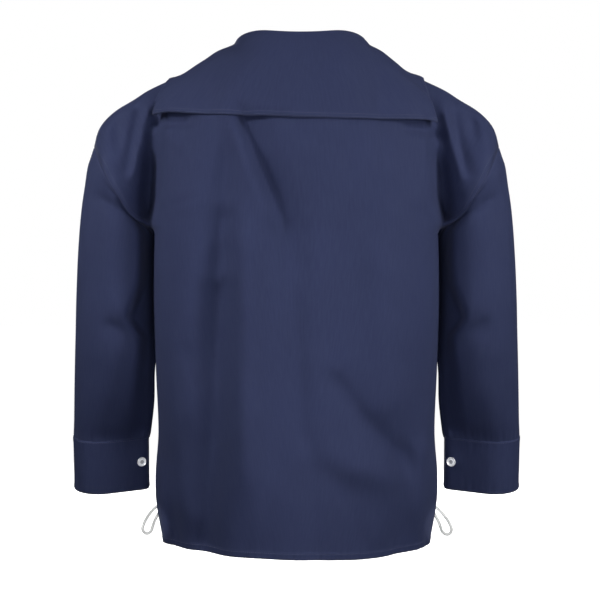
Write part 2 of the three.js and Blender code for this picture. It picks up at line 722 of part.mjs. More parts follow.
function collarColumn(angle, hand) {
  const side = angle <= 90 ? BACK : FRONT;
  const seamAcross = (side === BACK ? angle / 90 : (180 - angle) / 90) * neckAcross;
  const at = (across, up) => (
    side === FRONT ? frontPoint(hand * across, up, hand) : panelPoint(side, hand * across, up)
  );
  const below = Math.floor(angle / neckStation) * neckStation;
  const above = Math.min(180, below + neckStation);
  const stationPoint = (stationAngle) => {
    const stationSide = stationAngle <= 90 ? BACK : FRONT;
    const across = (stationSide === BACK ? stationAngle / 90 : (180 - stationAngle) / 90) * neckAcross;
    if (stationSide === FRONT) return frontPoint(hand * across, 1, hand);
    return panelPoint(stationSide, hand * across, 1);
  };
  const seam = stationPoint(below).lerp(stationPoint(above), (angle - below) / neckStation);
  const radians = THREE.MathUtils.degToRad(angle);
  const inward = new THREE.Vector3(-hand * Math.sin(radians), -Math.cos(radians), 0);
  const base = seam.clone().addScaledVector(inward, seamGap + collarCloth / 2 + collar.seamRoom);
  base.z -= collar.seamDrop;

  const stand = angle <= 90
    ? mix(collar.backStand, collar.sideStand, smoothStep(0, 90, angle))
    : mix(collar.sideStand, collar.endStand, smoothStep(90, collar.endAngle, angle));
  const radius = collar.foldRadius;
  const points = [base];
  for (const share of standShares) {
    const point = base.clone();
    point.z += (stand - radius) * share;
    points.push(point);
  }
  for (const turn of foldTurns) {
    const around = THREE.MathUtils.degToRad(turn);
    const point = base.clone().addScaledVector(inward, -radius * (1 - Math.cos(around)));
    point.z += stand - radius + radius * Math.sin(around);
    points.push(point);
  }
  const foldEnd = base.clone().addScaledVector(inward, -2 * radius);
  foldEnd.z += stand - radius;

  const edgeX = mixedEdge(angle, hand > 0 ? 'leftX' : 'rightX');
  const edgeZ = mixedEdge(angle, hand > 0 ? 'leftZ' : 'rightZ');
  const edge = angle === 90
    ? { across: placeOnShoulder(edgeX), up: 1 }
    : placeOnPanel(side, edgeX, edgeZ);
  const overShoulder = Math.exp(-(((angle - collar.shoulderAngle) / collar.shoulderSpread) ** 2));
  const atCorner = Math.exp(-(((angle - collar.cornerAngle) / collar.cornerSpread) ** 2));
  const lift = (share) => collar.layOff
    + collar.shoulderLift * overShoulder * smoothStep(0.2, 0.75, share)
    + collar.cornerLift * atCorner * share ** 3;
  const laid = (share) => {
    const across = mix(seamAcross, edge.across, share);
    const up = mix(1, edge.up, share);
    const point = at(across, up);
    return point.addScaledVector(panelNormal(side, hand * across, up, hand), lift(share));
  };
  const start = laid(0);
  for (const share of fallShares) {
    const point = laid(share);
    point.addScaledVector(foldEnd.clone().sub(start), (1 - share) ** collar.rollEase);
    points.push(point);
  }
  return points;
}

function mixedEdge(angle, column) {
  let at = 0;
  while (at + 2 < collarEdge.length && collarEdge[at + 1].angle < angle) at += 1;
  const from = collarEdge[at];
  const to = collarEdge[at + 1];
  return mix(from[column], to[column], (angle - from.angle) / (to.angle - from.angle));
}

function placeOnShoulder(x) {
  const last = shoulderLine[shoulderLine.length - 1];
  return neckAcross + ((x - neck.halfWidth) / (last.x - neck.halfWidth)) * (1 - neckAcross);
}

function collarGeometry() {
  const sheet = newSheet();
  const rows = [];
  for (let angle = -collar.endAngle; angle <= collar.endAngle; angle += collar.step) {
    const column = collarColumn(Math.abs(angle), angle < 0 ? -1 : 1);
    rows.push(column.map((point) => sheet.points.push(point) - 1));
  }
  addGrid(sheet, rows, true);
  return clothWall(sheet, collarCloth);
}

// Draw cord

function cordGeometry(route) {
  const curve = new THREE.CatmullRomCurve3(route.map((point) => new THREE.Vector3(...point)));
  const outline = new THREE.Shape();
  for (let i = 0; i < cord.sides; i += 1) {
    const turn = (i / cord.sides) * Math.PI * 2;
    const x = Math.cos(turn) * (cord.diameter / 2);
    const y = Math.sin(turn) * (cord.diameter / 2);
    if (i === 0) outline.moveTo(x, y);
    else outline.lineTo(x, y);
  }
  outline.closePath();
  return new THREE.ExtrudeGeometry(outline, { steps: cord.steps, extrudePath: curve, bevelEnabled: false });
}

// The whole smock

const clothMaterial = { color: navy, roughness: 0.85, metalness: 0 };
const steelMaterial = { color: steel, roughness: 0.3, metalness: 1 };
const cordMaterial = { color: cordWhite, roughness: 0.8, metalness: 0 };

const smock = new THREE.Group();

function addPiece(name, geometry, material) {
  const mesh = new THREE.Mesh(geometry, new THREE.MeshStandardMaterial(material));
  mesh.name = name;
  smock.add(mesh);
  return mesh;
}

addPiece('back', panelGeometry(BACK), clothMaterial);
addPiece('front', panelGeometry(FRONT), clothMaterial);
addPiece('collar', collarGeometry(), clothMaterial);
for (const [name, hand] of [['left', 1], ['right', -1]]) {
  addPiece(`sleeve_${name}`, sleeveGeometry(hand), clothMaterial);
  addPiece(`cuff_${name}`, cuffGeometry(hand), clothMaterial);
  placeStud(addPiece(`stud_${name}`, studGeometry(), steelMaterial), hand);
}
addPiece('cord_loop_left', cordGeometry(leftLoop), cordMaterial);
addPiece('cord_loop_right', cordGeometry(rightLoop), cordMaterial);

export default smock;
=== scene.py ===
import math

import bmesh
import bpy
import numpy as np
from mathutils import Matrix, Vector


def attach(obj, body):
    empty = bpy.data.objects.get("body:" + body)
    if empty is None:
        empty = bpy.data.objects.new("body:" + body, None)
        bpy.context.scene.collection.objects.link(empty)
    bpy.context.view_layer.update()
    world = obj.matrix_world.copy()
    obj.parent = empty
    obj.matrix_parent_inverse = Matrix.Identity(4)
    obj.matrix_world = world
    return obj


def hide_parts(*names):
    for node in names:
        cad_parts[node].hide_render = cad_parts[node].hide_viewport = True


# A navy pull-over sailing smock, filled out as worn, seen from the back.
# Forms are worked out in millimetres, as in the part, and written to meshes in metres.
# x points to the wearer's left, y to the back, z up.

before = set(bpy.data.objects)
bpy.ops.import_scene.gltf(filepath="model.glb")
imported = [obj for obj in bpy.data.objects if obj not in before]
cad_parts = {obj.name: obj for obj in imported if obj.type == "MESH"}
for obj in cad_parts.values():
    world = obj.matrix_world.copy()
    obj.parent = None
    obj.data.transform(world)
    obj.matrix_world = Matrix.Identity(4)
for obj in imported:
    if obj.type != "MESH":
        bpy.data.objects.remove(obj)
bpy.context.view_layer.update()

MM = 0.001
BACK = 1
FRONT = -1
CLOTH = 1.3
COLLAR_CLOTH = 1.9
CUFF_CLOTH = 1.9
SEAM_GAP = 0.3
WELD = 0.02
CRUMPLE = 0.32
COLLAR_CRUMPLE = 0.45
# Each kind of waviness draws its own random numbers.
SEEDS = dict(panel=5, hem=11, sleeve=8, gather=31, cuff=47, collar_edge=61, collar=71)

# Sewing, in millimetres. Stitch rows are given by their distance from the edge.
# Each felled seam is a raised band: its width and height.
BANDS = dict(hem=(9, 0.5), armhole=(9, 0.6), side=(6, 0.35), cuff=(6, 0.25), collar=(6, 0.3))
STITCH = dict(pitch=3.1, length=2.6, flat=1.4, thread=0.5, dip=0.3, proud=0.02)
HEM_STITCH = 8
SIDE_STITCH = 5
ARMHOLE_STITCHES = (1.8, 8)
SLIT_STITCHES = (2, 8)
CUFF_STITCHES = (2, 75.5)
# The row along the lap's end, as a share of the way round the cuff.
LAP_STITCH = 2.2 / 320
COLLAR_STITCHES = (2, 6.5)
SLEEVE_SLIT = dict(around=0.075, length=19)
BAR_TACK = dict(count=9, step=0.6, width=2.4)
# Reach of the waves and of the wear along an edge, in millimetres.
HEM_WAVE = 34
HEM_SHIFT = 120
CUFF_WAVE = 16
COLLAR_WAVE = 18
SEAM_WEAR = 2.0
COLLAR_WEAR = 1.6

# Lengths round the sleeve and the cuff for their ripples, in millimetres, and the cuff's grid: points round
# and down.
SLEEVE_GIRTH = 420
CUFF_RIPPLE = 290
CUFF_GRID = (171, 33)

# Camera, level with the middle of the smock, behind the wearer; floor and small lamps, in metres.
PHOTO_SIZE = 600
FLOOR = dict(size=60, z=-0.9)
SNOOT = dict(power=15, blend=0.4, radius=0.002)
PIXELS_PER_UNIT = 1580.0
CAMERA_AT = (-0.0051, 2.3, -0.364)
SENSOR = 36.0

# Draw cord loops, from the upper hole to the lower one, in millimetres.
CORD_DIAMETER = 4.0
BRAID = dict(around=24, strands=4, twist=1.5, low=0.99, proud=0.14)
LEFT_LOOP = [
    (201.5, 1.2, -663.4), (206.9, 2.0, -667.2), (212.4, 3.4, -673.4), (217.6, 4.6, -681.0),
    (221.8, 4.8, -689.5), (223.6, 4.0, -696.5), (221.0, 2.6, -702.0), (216.0, 1.0, -703.5),
    (211.6, -0.6, -700.0), (209.4, -1.8, -693.5), (206.4, -2.5, -685.4), (203.6, -2.6, -679.6),
    (200.7, -2.4, -674.0),
]
RIGHT_LOOP = [
    (-201.4, 1.2, -664.6), (-206.9, 2.0, -668.4), (-212.6, 3.6, -674.8), (-218.4, 4.8, -682.0),
    (-223.2, 5.0, -690.5), (-225.4, 4.0, -698.0), (-222.4, 2.4, -704.0), (-216.8, 0.8, -704.6),
    (-212.0, -0.8, -700.6), (-209.8, -2.0, -694.5), (-206.8, -2.6, -686.6), (-203.9, -2.6, -681.0),
    (-200.7, -2.4, -675.2),
]


def rows_of(columns, rows):
    """A table: one dict for each row, from the names of its columns."""
    return [dict(zip(columns.split(), row)) for row in rows]


# Body below the armholes. power is the exponent of each rounded section.
BODY_SECTIONS = rows_of("z half_width back front power", [
    (-718, 193.0, 149, 140, 1.6), (-697, 196.6, 148, 139, 1.65), (-684, 199.0, 147.5, 138.5, 1.7),
    (-665, 202.0, 146.5, 137.6, 1.78), (-646, 203.7, 145.3, 136.8, 1.85), (-626, 204.0, 144, 136, 1.9),
    (-553, 199.6, 138, 132, 2.2), (-466, 202.7, 131, 127, 2.6), (-364, 205.1, 125, 123, 3.0),
    (-310, 204.6, 121, 120, 3.2), (-265, 203.2, 118, 117, 3.4),
])
UNDERARM_Z = -265
HEM_Z = -718
HEM_TO_UNDERARM = [-718, -702, -674, -640, -600, -556, -512, -468, -422, -376, -332, -296, -265.01]
SHOULDER_LINE = rows_of("x z", [
    (90.0, -4.0), (110.0, -9.0), (132.0, -20.0), (150.0, -30.0), (168.0, -39.0), (189.0, -47.5),
    (216.0, -60.0), (237.0, -73.5), (261.0, -88.0), (277.0, -102.0), (287.0, -116.0), (292.0, -131.0),
    (294.0, -141.0),
])
SHOULDER_END_X = 294.0
HEM_SAG = dict(x=-100, width=70, drop=4)
HEM_RISE = dict(x=198, width=30, rise=2.5)
NECK = dict(half_width=90, back_depth=66, front_depth=76, side_z=-4, back_drop=14, front_drop=64)
NECK_ACROSS = 0.3
CAP_ACROSS = 0.62
SLIT = dict(bottom_up=0.42, half_opening=15, spread=0.35)
ARMHOLE = rows_of("up x z", [
    (0.0, 206.4, -262), (0.14, 221.0, -254), (0.27, 239.0, -241), (0.47, 255.0, -214),
    (0.66, 270.0, -189), (0.85, 283.5, -162), (1.0, 294.0, -141),
])
ARMHOLE_HALF_DEPTH = 69
PARTS = dict(across=6, up=8, sleeve_around=6, sleeve_down=8, cord=12)
PANEL_UPS = [0, 0.09, 0.18, 0.28, 0.38, 0.48, 0.58, 0.68, 0.78, 0.89, 1]
PANEL_ACROSS = [0, 0.05, 0.1, 0.15, 0.2, 0.25, 0.3, 0.4, 0.51, 0.62, 0.68, 0.74, 0.8, 0.87, 0.93, 1]

# Sleeve rings. inner is the side next to the body; egg blends an oval to the cuff's shape.
SLEEVE_RINGS = rows_of("inner_x inner_z outer_x outer_z half_depth y egg lean", [
    (205.2, -277, 302.3, -166, 70.0, -6, 0.0, 0), (205.9, -300, 307.2, -196, 69.0, -6, 0.0, 0),
    (206.3, -326, 311.8, -230, 67.5, -4, 0.0, 0), (206.4, -354, 315.3, -272, 66.0, -2, 0.0, 0),
    (206.2, -384, 317.8, -318, 64.5, -1, 0.0, 1), (205.9, -414, 319.6, -366, 62.5, -1, 0.05, 3),
    (205.7, -444, 321.0, -414, 59.0, -4, 0.15, 5), (208.0, -474, 323.0, -456, 55.0, -11, 0.3, 7),
    (209.0, -505, 325.0, -496, 50.5, -20, 0.5, 9), (212.5, -536, 327.0, -532, 45.0, -31, 0.75, 10),
    (217.4, -563, 328.8, -563, 38.0, -40, 1.0, 11), (217.9, -566.5, 328.3, -566.5, 37.5, -40, 1.0, 11),
])
CUFF = dict(
    top_z=-563.3, depth=77.5, centre_x=273.6, top_y=-40, bottom_y=-51, half_width=55.2,
    wrist_radius=38, lap_radius=18, lean=11, lap_length=30, lap_shift=1.2,
)
LAP_MIDDLE = 0.083
STUD = dict(
    radius=7.0, height=2.6, middle=3.2, rim=0.5, rim_steps=4, sides=48, from_top=35, around=0.071,
    turned=0.16, downward=0.2, reach=12,
)
# Rings of the cap, from the rim in: how far in, and how far up.
STUD_RINGS = ((1.5, -1.1), (2.6, 0.45))

COLLAR = dict(
    back_stand=33, side_stand=16, end_stand=7, fold_radius=3.2, lay_off=2.3,
    shoulder_lift=0.4, left_corner_lift=11, right_corner_lift=8, end_angle=165, corner_angle=45,
    corner_width=11, shoulder_angle=75, shoulder_width=34, crooked=6.5, sunk=0.6, clear=0.1,
    angle_step=1.5, ease=3.2, rounding=5,
)
STAND_ROWS = 9
FOLD_ROWS = 10
FALL_ROWS = 54
FALL_FROM = STAND_ROWS + FOLD_ROWS
COLLAR_EDGE = rows_of("angle left_x left_z right_x right_z", [
    (0, 0, -111, 0, -111), (45, 204, -101, 191, -113), (90, 182, -42.3, 181, -41.9),
    (165, 108, -168, 108, -168),
])

# Folds and creases of each side: from x and z, to x and z, width, depth. Troughs are below zero.
FOLD_JOIN = 12
FOLD_FADE = 1.6
BODY_FOLDS = {
    BACK: [
        (74, -106, 51, -168, 10, -9), (51, -168, 27, -220, 12, -10), (27, -220, 8, -280, 13, -7),
        (8, -280, -6, -545, 13, -4), (-30, -170, -34, -330, 24, 3), (98, -175, 106, -290, 14, -5),
        (106, -290, 110, -500, 17, -8), (110, -500, 126, -700, 18, -8), (66, -300, 64, -640, 24, 4),
        (-60, -486, -94, -532, 15, -5), (-94, -532, -152, -594, 17, -5),
        (-60, -585, -128, -612, 20, 4), (-44, -606, -88, -652, 18, -3),
        (-154, -350, -152, -490, 20, 4), (-174, -630, -168, -718, 19, -2),
        (152, -565, 172, -718, 21, -6), (214, -97, 234, -183, 13, 7), (259, -118, 262, -142, 14, -8),
        (-210, -90, -232, -181, 13, 7), (-253, -112, -258, -136, 14, -7),
    ],
    FRONT: [
        (-60, -170, -104, -330, 16, -4), (70, -180, 100, -360, 18, -4), (-70, -420, -92, -690, 24, -6),
        (84, -450, 108, -700, 26, -6), (4, -380, -8, -640, 26, 4), (160, -600, 162, -718, 22, -5),
        (-160, -610, -163, -718, 22, -5), (224, -112, 238, -190, 14, 5),
        (-222, -108, -236, -186, 14, 5),
    ],
}
BODY_CREASES = {
    BACK: [
        (77, -106, 54, -164, 4, -5), (54, -164, 30, -218, 5, -6), (30, -218, 12, -268, 6.5, -4),
        (12, -268, 3, -420, 8, -2.4), (60, -112, 38, -172, 15, -9), (38, -172, 14, -228, 17, -11),
        (14, -228, -4, -300, 19, -7), (92, -124, 66, -184, 12, 5), (66, -184, 42, -244, 13, 5),
        (-12, -300, -24, -480, 17, 3), (94, -140, 103, -240, 17, -4), (103, -240, 112, -340, 21, -10),
        (208, -112, 156, -114, 7, -9), (196, -118, 166, -146, 8, 3), (-158, -122, -196, -126, 8, -8),
        (112, -340, 118, -560, 24, -17), (118, -560, 132, -700, 26, -19), (66, -280, 70, -600, 22, 9),
        (-122, -316, -128, -500, 25, 11), (148, -180, 158, -400, 24, 3),
        (184, -600, 172, -718, 16, -10), (-180, -580, -174, -718, 14, 8),
        (-148, -580, -142, -718, 15, -8), (214, -97, 223, -140, 4.5, 4),
        (223, -140, 231, -182, 5, 4.5), (227, -98, 236, -142, 9, -7), (236, -142, 244, -178, 8, -6),
        (200, -128, 196, -160, 10, 3), (208, -176, 216, -244, 14, -20),
        (-214, -101, -222, -142, 4.5, 4), (-222, -142, -235, -188, 5, 4.5),
        (-227, -102, -235, -146, 9, -7), (-235, -146, -247, -184, 8, -6),
        (-200, -132, -198, -160, 10, 2), (-207, -172, -216, -244, 14, -20),
        (261, -120, 259, -138, 7, -3.5), (-255, -110, -257, -127, 7, -3.5),
        (186, -236, 140, -222, 7, -1.0), (-184, -246, -146, -232, 7, -0.9),
        (152, -438, 136, -478, 11, -4), (180, -480, 168, -540, 12, 2), (34, -470, 40, -640, 14, -1.6),
        (62, -470, 82, -520, 10, -1.6), (-20, -560, -26, -700, 13, -2),
        (-60, -496, -94, -534, 18, -2.5), (-94, -534, -146, -586, 20, -3),
        (-92, -598, -134, -606, 22, 3), (-90, -650, -110, -690, 11, 2),
    ],
    FRONT: [
        (190, -238, 132, -214, 7, -1.8), (-188, -240, -128, -220, 7, -1.6),
        (18, -186, 40, -250, 7, -1.8), (-14, -190, -44, -270, 7, -2.0),
        (120, -480, 150, -600, 12, -2.4), (-130, -470, -150, -610, 12, -2.2),
        (204, -124, 212, -192, 11, -6), (-204, -124, -212, -192, 11, -6),
    ],
}
SLEEVE_FOLDS = {
    BACK: [
        (274, -222, 236, -246, 11, -4), (258, -408, 234, -422, 13, -5), (254, -446, 262, -520, 20, 3),
    ],
    FRONT: [
        (216, -350, 268, -372, 14, -8), (214, -400, 276, -388, 13, -9), (220, -440, 262, -424, 14, -5),
        (292, -420, 284, -530, 16, -4),
    ],
}
SLEEVE_CREASES = {
    BACK: [
        (252, -212, 228, -252, 7, -6), (275, -221, 238, -243, 5, -3.5), (250, -374, 240, -384, 14, 3),
        (262, -398, 246, -406, 7, -1.8), (300, -460, 296, -540, 10, -1.4),
        (284, -250, 290, -330, 14, -1.5),
    ],
    FRONT: [
        (220, -368, 262, -380, 6, -2.4), (222, -408, 270, -398, 6, -2.2),
        (262, -480, 254, -545, 8, -1.6),
    ],
}
COLLAR_CREASES = [
    (126, -70, 128, -106, 6, -2), (60, -96, 10, -98, 14, 2.5), (-20, -20, -30, -70, 16, -1.5),
    (150, -50, 118, -20, 10, 1.5), (-130, -40, -168, -90, 12, 1.5),
]
# Edge where the flat back of the sleeve turns in towards the body, notched at the bent elbow.
# Past it, on the side next to the body, the cloth drops away within its width.
SLEEVE_EDGE = rows_of("z x drop width", [
    (-563, 252, 0, 34), (-548, 250, 8, 34), (-506, 242, 12, 26), (-470, 237, 15, 18),
    (-440, 231, 23, 15), (-418, 229, 28, 12), (-403, 238, 32, 11), (-389, 245, 35, 10),
    (-364, 238, 34, 12), (-335, 230, 33, 13), (-300, 228, 32, 13), (-268, 229, 27, 12),
    (-248, 238, 15, 10), (-226, 249, 0, 10),
])


# Tables and shapes

def mix(a, b, share):
    return a + (b - a) * share


def smooth_step(low, high, value):
    share = np.clip((np.asarray(value, float) - low) / (high - low), 0, 1)
    return share * share * (3 - 2 * share)


def smooth_curve(keys, values, at):
    """Smooth curve through values at rising keys, without overshoot. values may have more axes."""
    keys = np.asarray(keys, float)
    values = np.asarray(values, float)
    at = np.clip(np.asarray(at, float), keys[0], keys[-1])
    span = np.diff(keys)
    tall = span.reshape((-1,) + (1,) * (values.ndim - 1))
    slope = np.diff(values, axis=0) / tall
    tangent = np.empty_like(values)
    tangent[0], tangent[-1] = slope[0], slope[-1]
    product = slope[:-1] * slope[1:]
    total = slope[:-1] + slope[1:]
    total = np.where(np.abs(total) < 1e-12, 1, total)
    tangent[1:-1] = np.where(product > 0, 2 * product / total, 0)
    row = np.clip(np.searchsorted(keys, at, side="right") - 1, 0, len(keys) - 2)
    share = (at - keys[row]) / span[row]
    width = span[row]
    if values.ndim > 1:
        share = share.reshape(share.shape + (1,) * (values.ndim - 1))
        width = width.reshape(width.shape + (1,) * (values.ndim - 1))
    square, cube = share ** 2, share ** 3
    return (
        (2 * cube - 3 * square + 1) * values[row]
        + (cube - 2 * square + share) * width * tangent[row]
        + (3 * square - 2 * cube) * values[row + 1]
        + (cube - square) * width * tangent[row + 1]
    )


def read_table(table, key_name, key, column):
    return smooth_curve([row[key_name] for row in table], [row[column] for row in table], key)


def bell(distance, width):
    """One at no distance, and next to nothing beyond twice the width."""
    return np.exp(-(distance / width) ** 2)


def unit(vectors):
    return vectors / np.linalg.norm(vectors, axis=-1, keepdims=True)


def walked_along(points, axis=0):
    """Distance from the start along one axis of a row or grid of points."""
    steps = np.linalg.norm(np.diff(points, axis=axis), axis=-1)
    return np.concatenate([0 * steps.take([0], axis), np.cumsum(steps, axis=axis)], axis=axis)


def fold_height(folds, x, z):
    """Sum of all folds. Folds that meet end to end pass over into each other at an even depth."""
    starts = [fold[:2] for fold in folds]
    ends = [fold[2:4] for fold in folds]
    height = np.zeros_like(x)
    for (*_, width, depth), start, end in zip(folds, starts, ends):
        along_x, along_z = end[0] - start[0], end[1] - start[1]
        length = math.hypot(along_x, along_z)
        off_x, off_z = x - start[0], z - start[1]
        walked = (off_x * along_x + off_z * along_z) / length
        share = bell((off_x * along_z - off_z * along_x) / length, width)
        for past, joined in ((-walked, start in ends), (walked - length, end in starts)):
            if joined:
                share = share * (1 - smooth_step(-FOLD_JOIN, FOLD_JOIN, past))
            else:
                share = share * bell(np.maximum(0, past), FOLD_FADE * width)
        height += depth * share
    return height


def edge_drop(x, z):
    """How far the sleeve's back drops past its edge, on the side next to the body."""
    edge_x, drop, width = [read_table(SLEEVE_EDGE, "z", z, name) for name in ("x", "drop", "width")]
    return drop * smooth_step(0, 1, (edge_x - x) / width)


def crumple(x, z, seed, size):
    """Soft uneven waves all over a cloth, as it lies after some wear."""
    draw = np.random.default_rng(seed)
    height = np.zeros_like(x)
    for wavelength in (34, 43, 57, 71, 96, 125):
        for _ in range(3):
            turn = draw.uniform(0, math.pi)
            run = (x * math.cos(turn) + z * math.sin(turn) * 0.7) / wavelength
            height += np.sin(run * 2 * math.pi + draw.uniform(0, 6.28)) * wavelength / 100
    return height * size


def points_of(x, y, z):
    return np.stack(np.broadcast_arrays(x, y, z), axis=-1).astype(float)


# Body panels

def section_point(side, across, z):
    """Points of the body's rounded section at heights below the underarm."""
    names = ("half_width", "back" if side == BACK else "front", "power")
    half_width, depth, power = [read_table(BODY_SECTIONS, "z", z, name) for name in names]
    turn = np.abs(across) * math.pi / 2
    x = np.sign(across) * half_width * np.sin(turn) ** (2 / power)
    y = side * depth * np.maximum(0, np.cos(turn)) ** (2 / power)
    return points_of(x, y, z)


def top_point(side, across):
    """Points of the panel's upper edge: round the neck, then along the shoulder seam."""
    reach = np.abs(across)
    half_width = NECK["half_width"]
    word = "back" if side == BACK else "front"
    turn = np.minimum(reach / NECK_ACROSS, 1) * math.pi / 2
    beyond = np.maximum(0, (reach - NECK_ACROSS) / (1 - NECK_ACROSS))
    shoulder_x = mix(half_width, SHOULDER_END_X, beyond)
    neck_y = side * NECK[word + "_depth"] * np.cos(turn)
    neck_z = NECK["side_z"] - NECK[word + "_drop"] * np.cos(turn) ** 2
    in_neck = reach <= NECK_ACROSS
    x = np.where(in_neck, half_width * np.sin(turn), shoulder_x)
    z = np.where(in_neck, neck_z, read_table(SHOULDER_LINE, "x", shoulder_x, "z"))
    return points_of(np.sign(across) * x, np.where(in_neck, neck_y, 0), z)


def armhole_point(side, up):
    x, z = [read_table(ARMHOLE, "up", up, name) for name in ("x", "z")]
    y = side * ARMHOLE_HALF_DEPTH * np.maximum(0, np.sin(math.pi * np.asarray(up))) ** 0.8
    return points_of(x, y, z)


def armhole_normal(side, up):
    turn = math.pi * np.asarray(up, float)
    under = np.maximum(0, np.cos(turn)) ** 1.5
    over = np.maximum(0, -np.cos(turn)) ** 1.5
    return unit(points_of(0.93 * over - 0.25 * under, side * np.sin(turn), 0.36 * over - 0.97 * under))


def yoke_point(side, across, up):
    """Points above the underarm: from the body's section to the shoulder, with the sleeve's cap."""
    across, up = np.broadcast_arrays(np.asarray(across, float), np.asarray(up, float))
    reach = np.abs(across)
    roundness = np.maximum(0, np.cos(up * math.pi / 2)) ** 0.9

    def path(place):
        start = section_point(side, place, np.full_like(place, UNDERARM_Z))
        end = top_point(side, place)
        return points_of(
            mix(start[..., 0], end[..., 0], up ** 1.2),
            mix(end[..., 1], start[..., 1], roundness),
            mix(start[..., 2], end[..., 2], np.sin(up * math.pi / 2)),
        )

    share = np.clip((reach - CAP_ACROSS) / (1 - CAP_ACROSS), 0, 1)[..., None]
    seam = armhole_point(side, up)
    point = path(reach) + (seam - path(np.ones_like(reach))) * (share ** 2 * (3 - 2 * share))
    corner = path(np.full_like(reach, CAP_ACROSS))
    low_z, high_z = [mix(corner[..., 2], seam[..., 2], part) for part in (0.33, 0.67)]
    first = points_of(corner[..., 0] + 22, corner[..., 1] - side * 24, low_z)
    second = points_of(205, side * mix(-10, 30, up), high_z)
    rest = 1 - share
    cap = rest ** 3 * corner + share ** 3 * seam + 3 * share * rest * (rest * first + share * second)
    cap_share = (smooth_step(0, 0.22, up) * (1 - smooth_step(0.6, 1, up)))[..., None]
    point = np.where((reach > CAP_ACROSS)[..., None], mix(point, cap, cap_share), point)
    point[..., 0] *= np.where(across < 0, -1, 1)
    return point


def panel_point(side, across, up, creased=False):
    """Points of a panel. Below the underarm, up is a height in millimetres, below zero."""
    across, up = np.broadcast_arrays(np.asarray(across, float), np.asarray(up, float))
    low = section_point(side, across, np.minimum(up, UNDERARM_Z))
    point = np.where((up < 0)[..., None], low, yoke_point(side, across, np.clip(up, 0, 1)))
    fade = (1 - smooth_step(0.9, 1, np.abs(across))) * (1 - smooth_step(0.88, 1, up))
    at_x, at_z = point[..., 0], point[..., 2]
    if creased:
        height = fold_height(BODY_FOLDS[side] + BODY_CREASES[side], at_x, at_z)
        height = height + crumple(at_x, at_z, SEEDS["panel"] + side, CRUMPLE)
    else:
        height = fold_height(BODY_FOLDS[side], at_x, at_z)
    point[..., 1] = side * np.maximum(side * point[..., 1] + height * fade, SEAM_GAP / 2)
    return point


def half_point(side, hand, across, up, creased=False):
    """Points of one half of a panel. On the front, the edges of the neck slit lie apart."""
    point = panel_point(side, hand * across, up, creased)
    if side == FRONT:
        opening = np.maximum(0, (np.asarray(up, float) - SLIT["bottom_up"]) / (1 - SLIT["bottom_up"]))
        near = np.maximum(0, 1 - np.abs(across) / SLIT["spread"])
        point[..., 0] += hand * SLIT["half_opening"] * opening * near
    return point


# Mesh helpers

def subdivide(stations, parts):
    fine = []
    for low, high in zip(stations[:-1], stations[1:]):
        fine += [mix(low, high, i / parts) for i in range(parts)]
    return np.array(fine + [stations[-1]], float)


def grid_normals(points, closed=False):
    """Normals of a grid of points, from its neighbours along rows and columns."""
    if closed:
        along = np.roll(points, -1, axis=1) - np.roll(points, 1, axis=1)
    else:
        along = np.gradient(points, axis=1)
    down = np.gradient(points, axis=0)
    normal = np.cross(along, down)
    length = np.linalg.norm(normal, axis=-1, keepdims=True)
    return normal / np.maximum(length, 1e-9)


def add_object(name, data, material=None):
    thing = bpy.data.objects.new(name, data)
    bpy.context.scene.collection.objects.link(thing)
    if material:
        data.materials.append(material)
    return thing


def mesh_object(name, mesh, material):
    data = bpy.data.meshes.new(name)
    mesh.to_mesh(data)
    mesh.free()
    return add_object(name, data, material)


def cloth_object(name, grids, thickness):
    """A cloth wall from grids of points, each with normals that face out and wear for each point."""
    mesh = bmesh.new()
    wear_layer = mesh.verts.layers.float.new("wear")
    uv_layer = mesh.loops.layers.uv.new("cloth")
    for grid in grids:
        points, flip, closed = grid["points"], grid["flip"], grid.get("closed", False)
        rows, columns = points.shape[:2]
        u = walked_along(points, 1).mean(axis=0)
        u = np.append(u, u[-1] + u[1]) * grid.get("hand", 1)
        v = walked_along(points).mean(axis=1)
        walls = []
        for direction in (0.5, -0.5):
            moved = (points + grid["normals"] * direction * thickness) * MM
            wall = [[mesh.verts.new(place) for place in line] for line in moved]
            for line, wear in zip(wall, grid["wear"]):
                for vert, value in zip(line, wear):
                    vert[wear_layer] = value
            walls.append(wall)

        def add_face(corners, turned_over):
            """A face from the wall, row and column of its corners."""
            if turned_over:
                corners = corners[::-1]
            face = mesh.faces.new([walls[wall][i][j % columns] for wall, i, j in corners])
            for loop, (_, i, j) in zip(face.loops, corners):
                loop[uv_layer].uv = (u[j] * MM, v[i] * MM)
            face.smooth = True

        for i in range(rows - 1):
            for j in range(columns if closed else columns - 1):
                for wall in (0, 1):
                    corners = [(wall, i, j), (wall, i, j + 1), (wall, i + 1, j + 1), (wall, i + 1, j)]
                    add_face(corners, (wall == 0) == flip)

        around = range(columns + 1 if closed else columns)
        rims = [([(0, j) for j in around], flip), ([(rows - 1, j) for j in around], not flip)]
        if not closed:
            open_from = max(0, grid.get("joined_rows", 0) - 1)
            rims.append(([(i, 0) for i in range(open_from, rows)], not flip))
            rims.append(([(i, columns - 1) for i in range(rows)], flip))
        for rim, turned_over in rims:
            for (i, j), (k, m) in zip(rim[:-1], rim[1:]):
                add_face([(0, i, j), (1, i, j), (1, k, m), (0, k, m)], turned_over)
    bmesh.ops.remove_doubles(mesh, verts=mesh.verts, dist=WELD * MM)
    return mesh_object(name, mesh, DRILL)


def ripple(distance, seed, size=0.5):
    """Uneven small waves along a seam."""
    draw = np.random.default_rng(seed)
    value = np.zeros_like(np.asarray(distance, float))
    for wavelength in (9.0, 13.0, 21.0, 34.0):
        start = draw.uniform(0, 6.28)
        value += np.sin(distance / wavelength * 2 * math.pi + start) * draw.uniform(0.5, 1)
    return value * size / 2


# Materials

